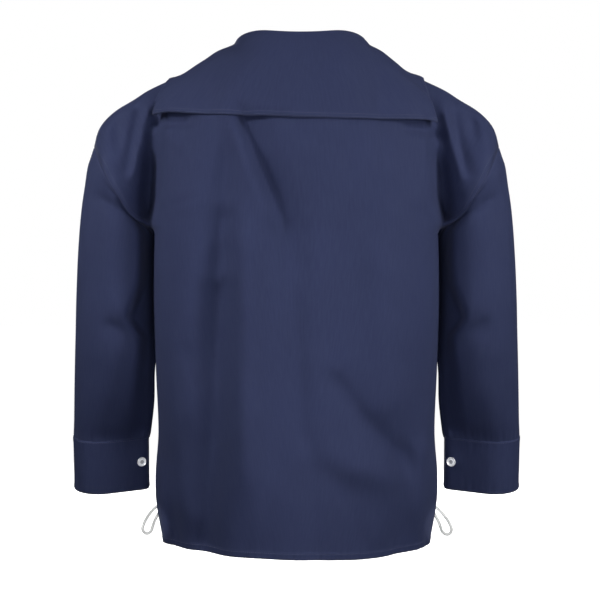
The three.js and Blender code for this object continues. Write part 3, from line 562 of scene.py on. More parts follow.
def new_material(name, inputs):
    """A material with these values in its shader: the material, its node tree and its shader."""
    material = bpy.data.materials.new(name)
    material.use_nodes = True
    shader = material.node_tree.nodes["Principled BSDF"]
    for key, value in inputs.items():
        shader.inputs[key].default_value = value
    return material, material.node_tree, shader


def fill_node(tree, node, inputs):
    """Give a node its inputs, each a value or the output that it comes from."""
    for key, value in inputs.items():
        if isinstance(value, bpy.types.NodeSocket):
            tree.links.new(value, node.inputs[key])
        else:
            node.inputs[key].default_value = value
    return node


def add_node(tree, kind, inputs):
    return fill_node(tree, tree.nodes.new("ShaderNode" + kind), inputs)


def noise(tree, place, scale, detail, roughness=0.5):
    inputs = {"Vector": place, "Scale": scale, "Detail": detail, "Roughness": roughness}
    return add_node(tree, "TexNoise", inputs).outputs["Fac"]


def object_place(tree):
    return tree.nodes.new("ShaderNodeTexCoord").outputs["Object"]


def colour_mix(tree, share, first, second):
    node = tree.nodes.new("ShaderNodeMix")
    node.data_type = "RGBA"
    return fill_node(tree, node, {0: share, 6: first, 7: second}).outputs[2]


def value_of(tree, operation, first, second):
    node = tree.nodes.new("ShaderNodeMath")
    node.operation = operation
    return fill_node(tree, node, {0: first, 1: second}).outputs["Value"]


def shade_of(colour, share):
    return (*[c * share for c in colour], 1)


def drill_material(name, colour, light_colour):
    """Navy cotton drill: diagonal twill, slubs, faint patches of fading and lighter worn edges."""
    material, tree, shader = new_material(name, {
        "Roughness": 0.82, "Specular IOR Level": 0.28, "Sheen Weight": 0.12, "Sheen Roughness": 0.4,
        "Sheen Tint": (0.55, 0.6, 0.9, 1),
    })
    place = tree.nodes.new("ShaderNodeUVMap")
    place.uv_map = "cloth"
    on_cloth = place.outputs["UV"]
    light = shade_of(light_colour, 1)

    cloud = noise(tree, object_place(tree), 9.0, 3.0, 0.55)
    tone = colour_mix(tree, cloud, shade_of(colour, 0.9), shade_of(colour, 1.1))
    stretched = add_node(tree, "Mapping", {"Vector": on_cloth, "Scale": (500.0, 40.0, 1.0)})
    slub = noise(tree, stretched.outputs["Vector"], 1.0, 2.0)
    flecked = add_node(tree, "MapRange", {"Value": slub, "From Min": 0.35, "From Max": 0.85, "To Max": 0.16})
    fleck = colour_mix(tree, flecked.outputs["Result"], tone, light)
    wear = tree.nodes.new("ShaderNodeAttribute")
    wear.attribute_name = "wear"
    worn_share = value_of(tree, "MULTIPLY", wear.outputs["Fac"], 0.3)

    twill = add_node(tree, "TexWave", {
        "Vector": on_cloth, "Scale": 420.0, "Distortion": 0.6, "Detail": 1.0, "Detail Scale": 2.0})
    twill.wave_type = "BANDS"
    twill.bands_direction = "DIAGONAL"
    height = value_of(tree, "ADD", twill.outputs["Fac"], noise(tree, on_cloth, 900.0, 2.0))
    bump = add_node(tree, "Bump", {"Strength": 0.35, "Distance": 0.00022, "Height": height})
    worn = colour_mix(tree, worn_share, fleck, light)
    fill_node(tree, shader, {"Base Color": worn, "Normal": bump.outputs["Normal"]})
    return material


def yarn_material(name, roughness, sheen, scale, detail, dark, light):
    """Yarn whose colour varies a little between two tones."""
    material, tree, shader = new_material(name, {"Roughness": roughness, "Sheen Weight": sheen})
    tone = colour_mix(tree, noise(tree, object_place(tree), scale, detail), dark, light)
    fill_node(tree, shader, {"Base Color": tone})
    return material


def steel_material(name, colour, metallic):
    material, tree, shader = new_material(name, {"Base Color": (*colour, 1), "Metallic": metallic})
    grain = noise(tree, object_place(tree), 900.0, 3.0)
    rough = add_node(tree, "MapRange", {"Value": grain, "To Min": 0.3, "To Max": 0.48})
    fill_node(tree, shader, {"Roughness": rough.outputs["Result"]})
    return material


NAVY = (0.0315, 0.042, 0.112)
WORN_NAVY = (0.085, 0.1, 0.2)
NAVY_THREAD = (0.05, 0.06, 0.13)
DRILL = drill_material("navy drill", NAVY, WORN_NAVY)
THREAD = yarn_material(
    "navy thread", 0.6, 0.1, 700.0, 1.0, shade_of(NAVY_THREAD, 0.8), shade_of(NAVY_THREAD, 1.25))
STEEL = steel_material("stud nickel", (0.93, 0.94, 0.97), 0.2)
# Darker nickel for the dished middle of each stud cap: painted shade of the dish.
STEEL_PAINTED_SHADE = steel_material("nickel with painted shade", (0.42, 0.43, 0.47), 0.4)
CORD = yarn_material("white cord", 0.85, 0.2, 500.0, 2.0, (0.7, 0.71, 0.71, 1), (0.9, 0.9, 0.88, 1))


def finish_piece(piece, slot, *nodes):
    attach(piece, "root")
    if nodes:
        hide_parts(*nodes)
    return piece


# Camera

def make_camera():
    data = bpy.data.cameras.new("photo camera")
    data.sensor_width = SENSOR
    data.lens = SENSOR * PIXELS_PER_UNIT / PHOTO_SIZE
    camera = add_object("photo camera", data)
    camera.location = CAMERA_AT
    camera.rotation_euler = (math.radians(90), 0, math.radians(180))
    bpy.context.scene.camera = camera


# Draw cords

def smooth_route(route, steps):
    """Points along a centripetal curve through the route, as the part's cord follows."""
    places = [Vector(p) for p in route]
    places = [places[0] * 2 - places[1], *places, places[-1] * 2 - places[-2]]
    found = []
    for i in range(1, len(places) - 2):
        p0, p1, p2, p3 = places[i - 1:i + 3]
        for step in range(steps):
            t = step / steps
            found.append(0.5 * (
                2 * p1 + (p2 - p0) * t + (2 * p0 - 5 * p1 + 4 * p2 - p3) * t * t
                + (3 * p1 - p0 - 3 * p2 + p3) * t ** 3
            ))
    found.append(places[-2])
    return found


def braided_cord(name, route, node):
    """Soft braided cord: sixteen strands show as small raised diamonds."""
    line = smooth_route(route, PARTS["cord"])
    mesh = bmesh.new()
    rings = []
    walked = 0.0
    side = Vector((0, 1, 0))
    for i, point in enumerate(line):
        ahead = (line[min(i + 1, len(line) - 1)] - line[max(i - 1, 0)]).normalized()
        side = (side - ahead * side.dot(ahead)).normalized()
        other = ahead.cross(side)
        if i:
            walked += (point - line[i - 1]).length
        ring = []
        for j in range(BRAID["around"]):
            turn = j / BRAID["around"] * 2 * math.pi
            strand, twist = BRAID["strands"] * turn, BRAID["twist"] * walked
            braid = abs(math.sin(strand + twist)) * abs(math.sin(strand - twist))
            reach = CORD_DIAMETER / 2 * (BRAID["low"] + BRAID["proud"] * braid)
            place = point + side * math.cos(turn) * reach + other * math.sin(turn) * reach
            ring.append(mesh.verts.new(place * MM))
        rings.append(ring)
    for first, second in zip(rings[:-1], rings[1:]):
        for j in range(len(first)):
            k = (j + 1) % len(first)
            face = mesh.faces.new([first[j], first[k], second[k], second[j]])
            face.smooth = True
    mesh.faces.new(list(reversed(rings[0])))
    mesh.faces.new(rings[-1])
    piece = mesh_object(name, mesh, CORD)
    finish_piece(piece, "cord_white", node)


# Stitching

def make_stitch_shape():
    """One stitch, lying along x: a short six-sided thread whose ends dip into the cloth."""
    bpy.ops.object.select_all(action="DESELECT")
    bpy.ops.mesh.primitive_cylinder_add(
        vertices=6, radius=STITCH["thread"] / 2 * MM, depth=STITCH["flat"] * MM,
        rotation=(0, math.radians(90), 0),
    )
    shape = bpy.context.active_object
    bpy.ops.object.transform_apply(location=True, rotation=True, scale=True)
    bpy.ops.object.mode_set(mode="EDIT")
    end_length = (STITCH["length"] - STITCH["flat"]) / 2
    for end in (1, -1):
        mesh = bmesh.from_edit_mesh(shape.data)
        for face in mesh.faces:
            face.select = face.normal.x * end > 0.9
        bmesh.update_edit_mesh(shape.data)
        bpy.ops.mesh.inset(thickness=STITCH["thread"] * 0.22 * MM)
        bpy.ops.transform.translate(value=(end * end_length * MM, 0, -STITCH["dip"] * MM))
    bpy.ops.object.mode_set(mode="OBJECT")
    data = shape.data
    points = np.array([tuple(v.co) for v in data.vertices]) / MM
    faces = [list(face.vertices) for face in data.polygons]
    bpy.data.objects.remove(shape)
    bpy.data.meshes.remove(data)
    return points, faces


def stitched(name, rows):
    """All stitches of a piece as one mesh. Each row is its points and normals on the cloth's surface."""
    shape, shape_faces = STITCH_SHAPE
    points, faces = [], []
    for line, normals in rows:
        walked = walked_along(line)
        count = max(1, round(walked[-1] / STITCH["pitch"]))

        def at(place, values):
            distance = place * walked[-1] / count
            return np.array([np.interp(distance, walked, column) for column in values.T])

        for i in range(count):
            along = unit(at(i + 0.9, line) - at(i + 0.1, line))
            up = at(i + 0.5, normals)
            up = unit(up - along * np.dot(up, along))
            first = len(points) * len(shape)
            middle = at(i + 0.5, line) + up * STITCH["proud"]
            points.append(shape @ np.stack([along, np.cross(up, along), up]) + middle)
            faces += [[first + v for v in face] for face in shape_faces]
    data = bpy.data.meshes.new(name)
    data.from_pydata((np.concatenate(points) * MM).tolist(), [], faces)
    for face in data.polygons:
        face.use_smooth = True
    return finish_piece(add_object(name, data, THREAD), "navy_drill")


def sewn_piece(name, grids, thickness, rows):
    """A cloth wall and the mesh of its stitches."""
    cloth = finish_piece(cloth_object(name + "_cloth", grids, thickness), "navy_drill", name)
    return cloth, stitched(name + "_stitches", rows)


def level_row(grid, field, level, thickness, part=None):
    """Points on a cloth's outer surface where a field crosses a level, one for each column."""
    outer = grid["points"] + grid["normals"] * thickness / 2
    line, normals = [], []
    for j in range(outer.shape[1]) if part is None else part:
        above = field[:, j] > level
        change = np.flatnonzero(above[1:] != above[:-1])
        if not len(change):
            continue
        i = change[0]
        share = (level - field[i, j]) / (field[i + 1, j] - field[i, j])
        line.append(mix(outer[i, j], outer[i + 1, j], share))
        normals.append(mix(grid["normals"][i, j], grid["normals"][i + 1, j], share))
    return np.array(line), np.array(normals)


def column_row(grid, field, level, thickness, part=None):
    """The same for a row of stitches that runs down the grid: one point for each of its rows."""
    sideways = {key: grid[key].transpose(1, 0, 2) for key in ("points", "normals")}
    return level_row(sideways, field.T, level, thickness, part)


# Panels

def seam_lift(distance, band):
    """Raised band of a felled seam, within its width of an edge."""
    width, height = BANDS[band]
    return height * (1 - smooth_step(width - 1.2, width + 1.2, distance))


PANEL_COLUMNS = subdivide(PANEL_ACROSS, PARTS["across"])
PANEL_ROWS = np.concatenate([
    subdivide(HEM_TO_UNDERARM, PARTS["up"])[:-1], subdivide(PANEL_UPS, PARTS["up"]),
])


def panel_grids(side):
    """Both halves of a panel, joined down the middle but for the neck slit."""
    across, up = np.meshgrid(PANEL_COLUMNS, PANEL_ROWS)
    halves = {hand: half_point(side, hand, across, up, True) for hand in (1, -1)}
    whole = np.concatenate([halves[-1][:, ::-1], halves[1][:, 1:]], axis=1)
    middle = grid_normals(whole)[:, len(PANEL_COLUMNS) - 1] * -side
    joined = (PANEL_ROWS <= SLIT["bottom_up"]) | (side == BACK)
    yoke = up >= 0
    at_side = np.isclose(across, 1)
    level = np.where(yoke, np.isclose(up, 1) & (across >= NECK_ACROSS) & ~at_side, at_side)
    grids = []
    for hand, points in halves.items():
        normals = grid_normals(points) * (-side * hand)
        normals[joined, 0] = middle[joined]
        seam = armhole_normal(side, np.clip(up, 0, 1)) * (hand, 1, 1)
        normals = np.where((at_side & yoke)[..., None], seam, normals)
        normals[level, 1] = 0
        normals = unit(normals)
        at_x = points[..., 0]
        from_hem = points[..., 2] - HEM_Z
        from_edge = walked_along(points[:, ::-1], 1)[:, ::-1]
        band = np.where(yoke, seam_lift(from_edge, "armhole"), seam_lift(from_edge, "side"))
        wave = ripple(at_x, SEEDS["hem"] + side) * (1 - smooth_step(0, HEM_WAVE, from_hem))
        lift = (seam_lift(from_hem, "hem") + band + wave) * smooth_step(0, 1.5, from_edge)
        sag = HEM_SAG["drop"] * bell(at_x - HEM_SAG["x"], HEM_SAG["width"]) * (side == BACK)
        rise = HEM_RISE["rise"] * bell(np.abs(at_x) - HEM_RISE["x"], HEM_RISE["width"])
        points[..., 2] += (rise - sag) * (1 - smooth_step(0, HEM_SHIFT, from_hem))
        points = points + normals * lift[..., None]
        seam_wear = np.where(yoke, 0.5 * bell(from_edge - BANDS["armhole"][0], SEAM_WEAR), 0)
        hem_seam_wear = 0.35 * bell(from_hem - BANDS["hem"][0], SEAM_WEAR)
        hem_wear = np.maximum(1 - smooth_step(0, 3, from_hem), hem_seam_wear)
        grids.append(dict(
            points=points, normals=normals, wear=np.maximum(hem_wear, seam_wear), flip=side * hand > 0,
            hand=hand, joined_rows=int(joined.sum()), from_edge=from_edge, from_hem=from_hem,
        ))
    return grids


def panel_stitches(side, grids):
    """Hem, side seams, armholes and, on the front, both edges of the neck slit."""
    rows = []
    yoke_start = int((PANEL_ROWS < 0).sum())
    yoke_end = len(PANEL_ROWS) - 3
    for grid in grids:
        rows.append(level_row(grid, grid["from_hem"], HEM_STITCH, CLOTH))
        rows.append(column_row(grid, grid["from_edge"], SIDE_STITCH, CLOTH, range(6, yoke_start)))
        part = range(yoke_start + 2, yoke_end)
        rows += [column_row(grid, grid["from_edge"], level, CLOTH, part) for level in ARMHOLE_STITCHES]
        if side == FRONT:
            from_slit = walked_along(grid["points"], 1)
            part = range(grid["joined_rows"] + 1, yoke_end)
            rows += [column_row(grid, from_slit, level, CLOTH, part) for level in SLIT_STITCHES]
    return rows


def make_panel(name, side):
    grids = panel_grids(side)
    panel, stitches = sewn_piece(name, grids, CLOTH, panel_stitches(side, grids))


# Sleeves and cuffs

def egg_point(share):
    """Place on the cuff's egg-shaped section, a share of the way round from the middle of its lap."""
    big, small = CUFF["wrist_radius"], CUFF["lap_radius"]
    big_x, small_x = CUFF["half_width"] - big, small - CUFF["half_width"]
    tilt = math.asin((big - small) / (big_x - small_x))
    small_turn = math.pi / 2 - tilt
    straight = (big_x - small_x) * math.cos(tilt)
    half = small * small_turn + straight + big * (math.pi - small_turn)
    wrapped = np.asarray(share, float) % 1.0
    side = np.where(wrapped <= 0.5, 1, -1)
    walked = np.where(wrapped <= 0.5, wrapped, 1 - wrapped) * 2 * half
    past = walked - small * small_turn
    on_small, on_big = past < 0, past >= straight
    turn = np.where(on_small, walked / small, small_turn)
    turn = np.where(on_big, small_turn + (past - straight) / big, turn)
    along = np.where(on_small | on_big, 0, past)
    radius = np.where(on_big, big, small)
    x = np.where(on_big, big_x, small_x) - radius * np.cos(turn) + along * math.cos(tilt)
    y = radius * np.sin(turn) + along * math.sin(tilt)
    return dict(x=x, y=side * y, normal_x=-np.cos(turn), normal_y=side * np.sin(turn), girth=2 * half)


def sleeve_ring(ring, around):
    turn = around * math.pi * 2
    egg = egg_point(around)
    out = mix(-np.cos(turn), egg["x"] / CUFF["half_width"], ring["egg"])
    back = ring["half_depth"] * mix(np.sin(turn), egg["y"] / CUFF["wrist_radius"], ring["egg"])
    x = mix(ring["inner_x"], ring["outer_x"], (1 + out) / 2)
    z = mix(ring["inner_z"], ring["outer_z"], (1 + out) / 2)
    return points_of(x, ring["y"] + back, z - back * math.tan(math.radians(ring["lean"]))), back


def sleeve_grid(hand):
    ups = subdivide(PANEL_UPS, PARTS["sleeve_around"])
    around = np.concatenate([ups / 2, 1 - ups[1:-1][::-1] / 2])
    seam_ups = np.concatenate([ups, ups[1:-1][::-1]])
    at_back = (np.arange(len(around)) < len(ups))[:, None]
    seam = np.where(at_back, armhole_point(BACK, seam_ups), armhole_point(FRONT, seam_ups))
    seam_normal = np.where(at_back, armhole_normal(BACK, seam_ups), armhole_normal(FRONT, seam_ups))
    tangent = np.roll(seam, -1, axis=0) - np.roll(seam, 1, axis=0)
    rings = [seam + unit(np.cross(tangent, seam_normal)) * SEAM_GAP]
    backs = [np.sin(around * 2 * math.pi) * ARMHOLE_HALF_DEPTH]
    for ring in SLEEVE_RINGS:
        point, back = sleeve_ring(ring, around)
        rings.append(point)
        backs.append(back)
    walked = walked_along(np.array(rings)).mean(axis=1)
    from_top = subdivide(walked, PARTS["sleeve_down"])
    points = smooth_curve(walked, rings, from_top)
    back = smooth_curve(walked, backs, from_top)
    from_top = from_top[:, None] + 0 * back
    from_cuff = walked[-1] - from_top
    side = np.where(back >= 0, BACK, FRONT)
    at_x, at_y, at_z = np.moveaxis(points, -1, 0)
    depth = np.abs(at_y - at_y.mean(axis=1, keepdims=True)).max(axis=1, keepdims=True)
    near_edge = np.minimum(1, np.abs(back) / (0.35 * depth))
    folds = {s: fold_height(SLEEVE_FOLDS[s] + SLEEVE_CREASES[s], at_x, at_z) for s in (BACK, FRONT)}
    height = np.where(side == BACK, folds[BACK] - edge_drop(at_x, at_z), folds[FRONT])
    height = height + crumple(at_x, at_z, SEEDS["sleeve"] + hand, CRUMPLE)
    fade = smooth_step(0, 7, from_top) * smooth_step(0, 16, from_cuff)
    points[..., 1] += side * height * near_edge * fade
    normals = -grid_normals(points, closed=True)
    normals[0] = seam_normal
    gather = ripple(around * SLEEVE_GIRTH, SEEDS["gather"], 1.0) * bell(from_cuff - 6, 14)
    points = points + normals * (gather * smooth_step(0, 5, from_cuff))[..., None]
    wear = 0.5 * np.maximum(bell(from_top - 2, SEAM_WEAR), bell(from_cuff - 2, SEAM_WEAR))
    mirror = (hand, 1, 1)
    return dict(points=points * mirror, normals=normals * mirror, wear=wear, flip=hand > 0, closed=True)


def bar_tack(point, along, normal):
    """Short stitches side by side, across the end of the sleeve's slit."""
    half = np.cross(normal, along) * BAR_TACK["width"] / 2
    steps = (np.arange(BAR_TACK["count"]) - BAR_TACK["count"] / 2) * BAR_TACK["step"]
    middles = point + along * steps[:, None]
    return [(np.array([middle - half, middle + half]), np.array([normal, normal])) for middle in middles]


def sleeve_stitches(grid):
    """Both sides of the slit over the press stud, and the bar tack at its end."""
    outer, normals = grid["points"] + grid["normals"] * CLOTH / 2, grid["normals"]
    middle = round(SLEEVE_SLIT["around"] * outer.shape[1])
    from_cuff = walked_along(outer[::-1, middle])[::-1]
    top = int(np.flatnonzero(from_cuff < SLEEVE_SLIT["length"])[0])
    rows = [(outer[top:-1, column], normals[top:-1, column]) for column in (middle - 1, middle + 2)]
    along = unit(outer[top, middle] - outer[top + 1, middle])
    return rows + bar_tack(outer[top, middle], along, normals[top, middle])


def make_sleeve(name, hand):
    grid = sleeve_grid(hand)
    sleeve, stitches = sewn_piece(name, [grid], CLOTH, sleeve_stitches(grid))


def cuff_point(share, fall, shift):
    egg = egg_point(share)
    y = egg["y"] + egg["normal_y"] * shift
    return points_of(
        CUFF["centre_x"] + egg["x"] + egg["normal_x"] * shift,
        mix(CUFF["top_y"], CUFF["bottom_y"], fall / CUFF["depth"]) + y,
        CUFF["top_z"] - fall - y * math.tan(math.radians(CUFF["lean"])),
    )


def stud_tilt(share, fall):
    """The cloth round the press stud, tilted down and towards the body."""
    aside = ((np.asarray(share) - STUD["around"] + 0.5) % 1 - 0.5) * egg_point(0.0)["girth"]
    below = fall - STUD["from_top"]
    near = np.exp(-(aside ** 2 + below ** 2) / STUD["reach"] ** 2)
    return (STUD["turned"] * aside - STUD["downward"] * below) * near


def make_cuff(name, hand):
    girth = egg_point(0.0)["girth"]
    lap = CUFF["lap_length"] / girth
    around, down = CUFF_GRID
    walked, fall = np.meshgrid(np.linspace(0, 1, around), np.linspace(0, CUFF["depth"], down))
    shift = mix(-CUFF["lap_shift"], CUFF["lap_shift"], smooth_step(0.14, 0.86, walked))
    place = LAP_MIDDLE + lap / 2 - walked * (1 + lap)
    points = cuff_point(place, fall, shift + stud_tilt(place, fall))
    normals = grid_normals(points)
    off = points - (CUFF["centre_x"], CUFF["top_y"], 0)
    inward = (off * normals)[..., :2].sum(axis=-1).mean() < 0
    if inward:
        normals = -normals
    edge = np.minimum(fall, CUFF["depth"] - fall)
    wave = ripple(walked * CUFF_RIPPLE, SEEDS["cuff"]) * bell(edge, CUFF_WAVE)
    lap_fade = smooth_step(0.02, 0.12, walked) * smooth_step(0.02, 0.12, 1 - walked)
    lift = (wave + seam_lift(edge, "cuff")) * smooth_step(0, 2, edge) * lap_fade
    points = points + normals * lift[..., None]
    low_wear = 1 - smooth_step(0, 2.5, CUFF["depth"] - fall)
    wear = np.maximum(low_wear, 0.2 * (1 - smooth_step(0, 2, fall)))
    wear = np.maximum(wear, 0.8 * smooth_step(0.985, 1, walked))
    mirror = (hand, 1, 1)
    flip = bool(inward) == (hand > 0)
    grid = dict(points=points * mirror, normals=normals * mirror, wear=wear, flip=flip)
    shown = range(8, points.shape[1] - 1)
    rows = [level_row(grid, fall, level, CUFF_CLOTH, shown) for level in CUFF_STITCHES]
    shown = range(1, points.shape[0] - 1)
    rows.append(column_row(grid, 1 - walked, LAP_STITCH, CUFF_CLOTH, shown))
    cuff, stitches = sewn_piece(name, [grid], CUFF_CLOTH, rows)


# Collar

def place_on_panel(side, x, z):
    """The panel place, as across and up, that lies under points seen from one side."""
    low_up, high_up = np.zeros_like(x), np.ones_like(x)
    for _ in range(24):
        up = (low_up + high_up) / 2
        low, high = np.zeros_like(x), np.ones_like(x)
        for _ in range(24):
            across = (low + high) / 2
            short = panel_point(side, across, up)[..., 0] < x
            low, high = np.where(short, across, low), np.where(short, high, across)
        below = panel_point(side, across, up)[..., 2] < z
        low_up, high_up = np.where(below, up, low_up), np.where(below, high_up, up)
    return across, high_up


def edge_place(angle, hand):
    """x and z of the collar's free edge, as the camera sees it."""
    word = "left" if hand > 0 else "right"
    angles = [row["angle"] for row in COLLAR_EDGE]
    return [np.interp(angle, angles, [row[word + end] for row in COLLAR_EDGE]) for end in ("_x", "_z")]


def collar_side(angle, hand, side):
    """Columns of the collar over one panel, for angles on that side of the shoulder."""
    seam_across = np.where(angle <= 90, angle / 90, (180 - angle) / 90) * NECK_ACROSS

    def at(across, up):
        return half_point(side, hand, across, up)

    def normal_at(across, up):
        step = 0.004
        wide = at(across + step, up) - at(across - step, up)
        tall = at(across, np.minimum(1, up + step)) - at(across, up - step)
        normal = unit(np.cross(wide, tall))
        steep = np.abs(normal[..., 1]) > np.abs(normal[..., 2])
        wrong = np.where(steep, normal[..., 1] * side < 0, normal[..., 2] < 0)
        return np.where(wrong[..., None], -normal, normal)

    at_top = np.ones_like(angle)
    seam = at(seam_across, at_top)
    radians = np.radians(angle)
    inward = points_of(-hand * np.sin(radians), -np.cos(radians), 0 * angle)
    up_only = np.array([0, 0, 1])
    base = seam + inward * (SEAM_GAP + COLLAR_CLOTH / 2 + COLLAR["clear"]) - up_only * COLLAR["sunk"]
    stand = np.where(
        angle <= 90,
        mix(COLLAR["back_stand"], COLLAR["side_stand"], smooth_step(30, 95, angle)),
        mix(COLLAR["side_stand"], COLLAR["end_stand"], smooth_step(90, COLLAR["end_angle"], angle)),
    )
    radius = COLLAR["fold_radius"]
    straight = up_only * (stand - radius)[:, None]
    rows = [base + straight * share for share in np.linspace(0, 0.92, STAND_ROWS)]
    for turn in np.radians(np.linspace(0, 130, FOLD_ROWS)):
        round_off = inward * (1 - math.cos(turn)) - up_only * math.sin(turn)
        rows.append(base + straight - round_off * radius)
    fold_end = base + straight - inward * 2 * radius
    edge_x, edge_z = edge_place(angle, hand)
    edge_across, edge_up = place_on_panel(side, edge_x, edge_z)
    out = (edge_x - NECK["half_width"]) / (SHOULDER_END_X - NECK["half_width"])
    on_shoulder = np.isclose(angle, 90)
    edge_across = np.where(on_shoulder, mix(NECK_ACROSS, 1, out), edge_across)
    edge_up = np.where(on_shoulder, 1, edge_up)
    start = seam + normal_at(seam_across, at_top) * COLLAR["lay_off"]
    corner_lift = COLLAR["left_corner_lift" if hand > 0 else "right_corner_lift"]
    corner_lift = corner_lift * bell(angle - COLLAR["corner_angle"], COLLAR["corner_width"])
    shoulder_lift = bell(angle - COLLAR["shoulder_angle"], COLLAR["shoulder_width"])
    shoulder_lift = shoulder_lift * COLLAR["shoulder_lift"]
    for share in np.linspace(0, 1, FALL_ROWS + 2)[2:]:
        across, up = mix(seam_across, edge_across, share), mix(1.0, edge_up, share)
        lift = shoulder_lift * smooth_step(0.2, 0.75, share) + corner_lift * share ** 3 + COLLAR["lay_off"]
        point = at(across, up) + normal_at(across, up) * lift[..., None]
        rows.append(point + (fold_end - start) * (1 - share) ** COLLAR["ease"])
    return np.array(rows)


def rounded_across(points, reach):
    """Columns of the collar's fall drawn towards their neighbours, less towards the free edge."""
    weights = bell(np.arange(-2 * reach, 2 * reach + 1), reach)
    weights /= weights.sum()
    padding = ((0, 0), (2 * reach, 2 * reach), (0, 0))
    padded = np.pad(points, padding, mode="reflect", reflect_type="odd")
    soft = sum(w * padded[:, i:i + points.shape[1]] for i, w in enumerate(weights))
    rising = smooth_step(0, 1, np.linspace(0, 1, FALL_FROM + 1))
    falling = 1 - smooth_step(0.55, 1, np.linspace(0, 1, len(points) - FALL_FROM - 1))
    return points + (soft - points) * np.concatenate([rising, falling])[:, None, None]


def collar_grid():
    step = COLLAR["angle_step"]
    back_angles = np.arange(0, 90 + step / 2, step)
    front_angles = np.arange(90 + step, COLLAR["end_angle"] + step / 2, step)
    halves = {}
    for hand in (1, -1):
        sides = [collar_side(back_angles, hand, BACK), collar_side(front_angles, hand, FRONT)]
        halves[hand] = np.concatenate(sides, axis=1)
    return np.concatenate([halves[-1][:, ::-1], halves[1][:, 1:]], axis=1)


def make_collar():
    points = rounded_across(collar_grid(), COLLAR["rounding"])
    risen = np.minimum(1, np.arange(len(points)) / STAND_ROWS)[:, None]
    points[..., 0] -= COLLAR["crooked"] * smooth_step(-50, -4, points[..., 2]) * risen
    normals = grid_normals(points)
    inward = normals[-1, normals.shape[1] // 2, 1] <= 0
    if inward:
        normals = -normals
    at_x, _, at_z = np.moveaxis(points, -1, 0)
    from_edge = walked_along(points[::-1])[::-1]
    on_fall = (np.arange(len(points)) >= FALL_FROM)[:, None]
    wave = ripple(walked_along(points[-1]), SEEDS["collar_edge"]) * bell(from_edge, COLLAR_WAVE)
    soft = crumple(at_x, at_z, SEEDS["collar"], COLLAR_CRUMPLE) + fold_height(COLLAR_CREASES, at_x, at_z)
    soft = soft * smooth_step(0, 20, from_edge + 6)
    soft = soft * smooth_step(0, 1, np.linspace(-0.5, 2, len(points)))[:, None]
    lift = (seam_lift(from_edge, "collar") + wave + np.maximum(soft, -1.2)) * on_fall
    points = points + normals * lift[..., None]
    seam_wear = 0.4 * bell(from_edge - BANDS["collar"][0], COLLAR_WEAR)
    wear = np.maximum(1 - smooth_step(0, 2.5, from_edge), seam_wear) * on_fall
    grid = dict(points=points, normals=normals, wear=wear, flip=inward)
    from_below = {key: grid[key][::-1] for key in ("points", "normals")}
    rows = [level_row(from_below, from_edge[::-1], level, COLLAR_CLOTH) for level in COLLAR_STITCHES]
    piece, stitches = sewn_piece("collar", [grid], COLLAR_CLOTH, rows)


# Press studs

def make_stud(name, hand, node):
    """Cap of a press stud: a turned disc with a rolled rim and a dished middle, the middle painted darker as
    shade.
    """
    bpy.ops.object.select_all(action="DESELECT")
    bpy.ops.mesh.primitive_cylinder_add(
        vertices=STUD["sides"], radius=STUD["radius"] * MM, depth=STUD["height"] * MM,
    )
    cap = bpy.context.active_object
    cap.name = name
    bpy.ops.object.mode_set(mode="EDIT")
    mesh = bmesh.from_edit_mesh(cap.data)
    for face in mesh.faces:
        face.select = face.normal.z > 0.9
    bmesh.update_edit_mesh(cap.data)
    for inset, rise in STUD_RINGS:
        bpy.ops.mesh.inset(thickness=inset * MM)
        bpy.ops.transform.translate(value=(0, 0, rise * MM))
    bpy.ops.object.mode_set(mode="OBJECT")
    bevel = cap.modifiers.new("rolled rim", "BEVEL")
    bevel.width = STUD["rim"] * MM
    bevel.segments = STUD["rim_steps"]
    bevel.limit_method = "ANGLE"
    bpy.ops.object.modifier_apply(modifier=bevel.name)
    bpy.ops.object.shade_smooth_by_angle(angle=math.radians(40))
    egg = egg_point(STUD["around"])
    lift = CUFF["lap_shift"] + CUFF_CLOTH / 2 + SEAM_GAP + STUD["height"] / 2
    x, y, z = cuff_point(np.array(STUD["around"]), np.array(float(STUD["from_top"])), lift)
    face_x = float(egg["normal_x"]) - STUD["turned"] * float(egg["normal_y"])
    face_y = float(egg["normal_y"]) + STUD["turned"] * float(egg["normal_x"])
    facing = Vector((face_x * hand, face_y, -STUD["downward"])).normalized()
    centre = Vector((x * hand, y, z)) * MM
    cap.location = centre
    cap.rotation_mode = "QUATERNION"
    cap.rotation_quaternion = facing.to_track_quat("Z", "Y")
    bpy.ops.object.transform_apply(location=True, rotation=True, scale=True)
    cap.data.materials.append(STEEL)
    cap.data.materials.append(STEEL_PAINTED_SHADE)
    # Faces in the dished middle get the darker nickel: painted shade.
    for face in cap.data.polygons:
        off = face.center - centre
        aside = (off - facing * off.dot(facing)).length
        if face.normal.dot(facing) > 0.8 and aside < STUD["middle"] * MM:
            face.material_index = 1
    finish_piece(cap, "stud_steel", node)


# Studio

def add_lamp(name, kind, place, target, power):
    data = bpy.data.lights.new(name, kind)
    data.energy = power
    lamp = add_object(name, data)
    lamp.location = place
    lamp.rotation_euler = (Vector(target) - Vector(place)).to_track_quat("-Z", "Y").to_euler()
    lamp.visible_camera = False
    return data


def soft_light(name, place, target, size, power, spread=180):
    data = add_lamp(name, "AREA", place, target, power)
    data.shape = "DISK"
    data.size = size
    data.spread = math.radians(spread)


def snoot(name, place, target, angle):
    """Small narrow lamp on one bright fitting."""
    data = add_lamp(name, "SPOT", place, target, SNOOT["power"])
    data.spot_size = math.radians(angle)
    data.spot_blend = SNOOT["blend"]
    data.shadow_soft_size = SNOOT["radius"]


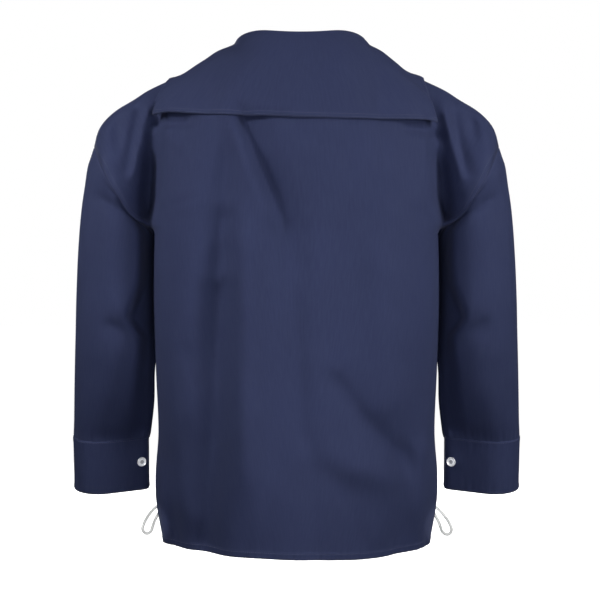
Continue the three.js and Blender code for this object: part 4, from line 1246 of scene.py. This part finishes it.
def make_studio():
    scene = bpy.context.scene
    scene.view_settings.view_transform = "Standard"
    scene.world = bpy.data.worlds.new("studio")
    scene.world.use_nodes = True
    tree = scene.world.node_tree
    camera_ray = tree.nodes.new("ShaderNodeLightPath").outputs["Is Camera Ray"]
    strength = add_node(tree, "MapRange", {"Value": camera_ray, "To Min": 0.012, "To Max": 1.0})
    background = {"Color": (1, 1, 1, 1), "Strength": strength.outputs["Result"]}
    fill_node(tree, tree.nodes["Background"], background)

    bpy.ops.object.select_all(action="DESELECT")
    bpy.ops.mesh.primitive_plane_add(size=FLOOR["size"], location=(0, 0, FLOOR["z"]))
    floor = bpy.context.active_object
    floor.name = "floor"
    floor.visible_diffuse = False
    floor.visible_glossy = False
    floor.visible_transmission = False
    material, _, _ = new_material("pale floor", {
        "Base Color": (0.85, 0.85, 0.84, 1), "Roughness": 0.9,
        "Emission Color": (1, 1, 1, 1), "Emission Strength": 1.0,
    })
    floor.data.materials.append(material)

    middle = (0, 0.05, -0.35)
    soft_light("high on the left", (1.6, 1.8, 1.3), middle, 0.9, 11.2)
    soft_light("level on the right", (-1.8, 2.0, -0.1), middle, 0.9, 16.0)
    soft_light("side, right", (-1.6, 0.9, 0.7), middle, 0.6, 8.0)
    soft_light("close behind, middle", (0, 1.0, -0.3), middle, 0.5, 1.3)
    soft_light("close behind, low", (0, 0.9, -0.6), middle, 0.4, 0.9)
    for word, hand, power in (("left", 1, 1.1), ("right", -1, 0.5)):
        soft_light("shoulder, " + word, (1.4 * hand, 0.7, 0.5), (0.3 * hand, 0, -0.2), 0.5, power, 50)
        snoot("loop, " + word, (0.12 * hand, 1.0, -0.69), (0.221 * hand, 0, -0.688), 4.5)
        snoot("stud, " + word, (0.1 * hand, 0.8, -0.7), (0.2273 * hand, -0.024, -0.6023), 1.0)
    soft_light("front left", (0.9, -2.6, 0.4), middle, 1.0, 30)
    soft_light("front right", (-0.7, -2.6, -0.1), middle, 1.0, 20)


make_camera()
braided_cord("draw_cord_left", LEFT_LOOP, "cord_loop_left")
braided_cord("draw_cord_right", RIGHT_LOOP, "cord_loop_right")
STITCH_SHAPE = make_stitch_shape()
make_panel("back", BACK)
make_panel("front", FRONT)
make_collar()
for word, hand in (("left", 1), ("right", -1)):
    make_sleeve("sleeve_" + word, hand)
    make_cuff("cuff_" + word, hand)
    make_stud("press_stud_" + word, hand, "stud_" + word)
make_studio()
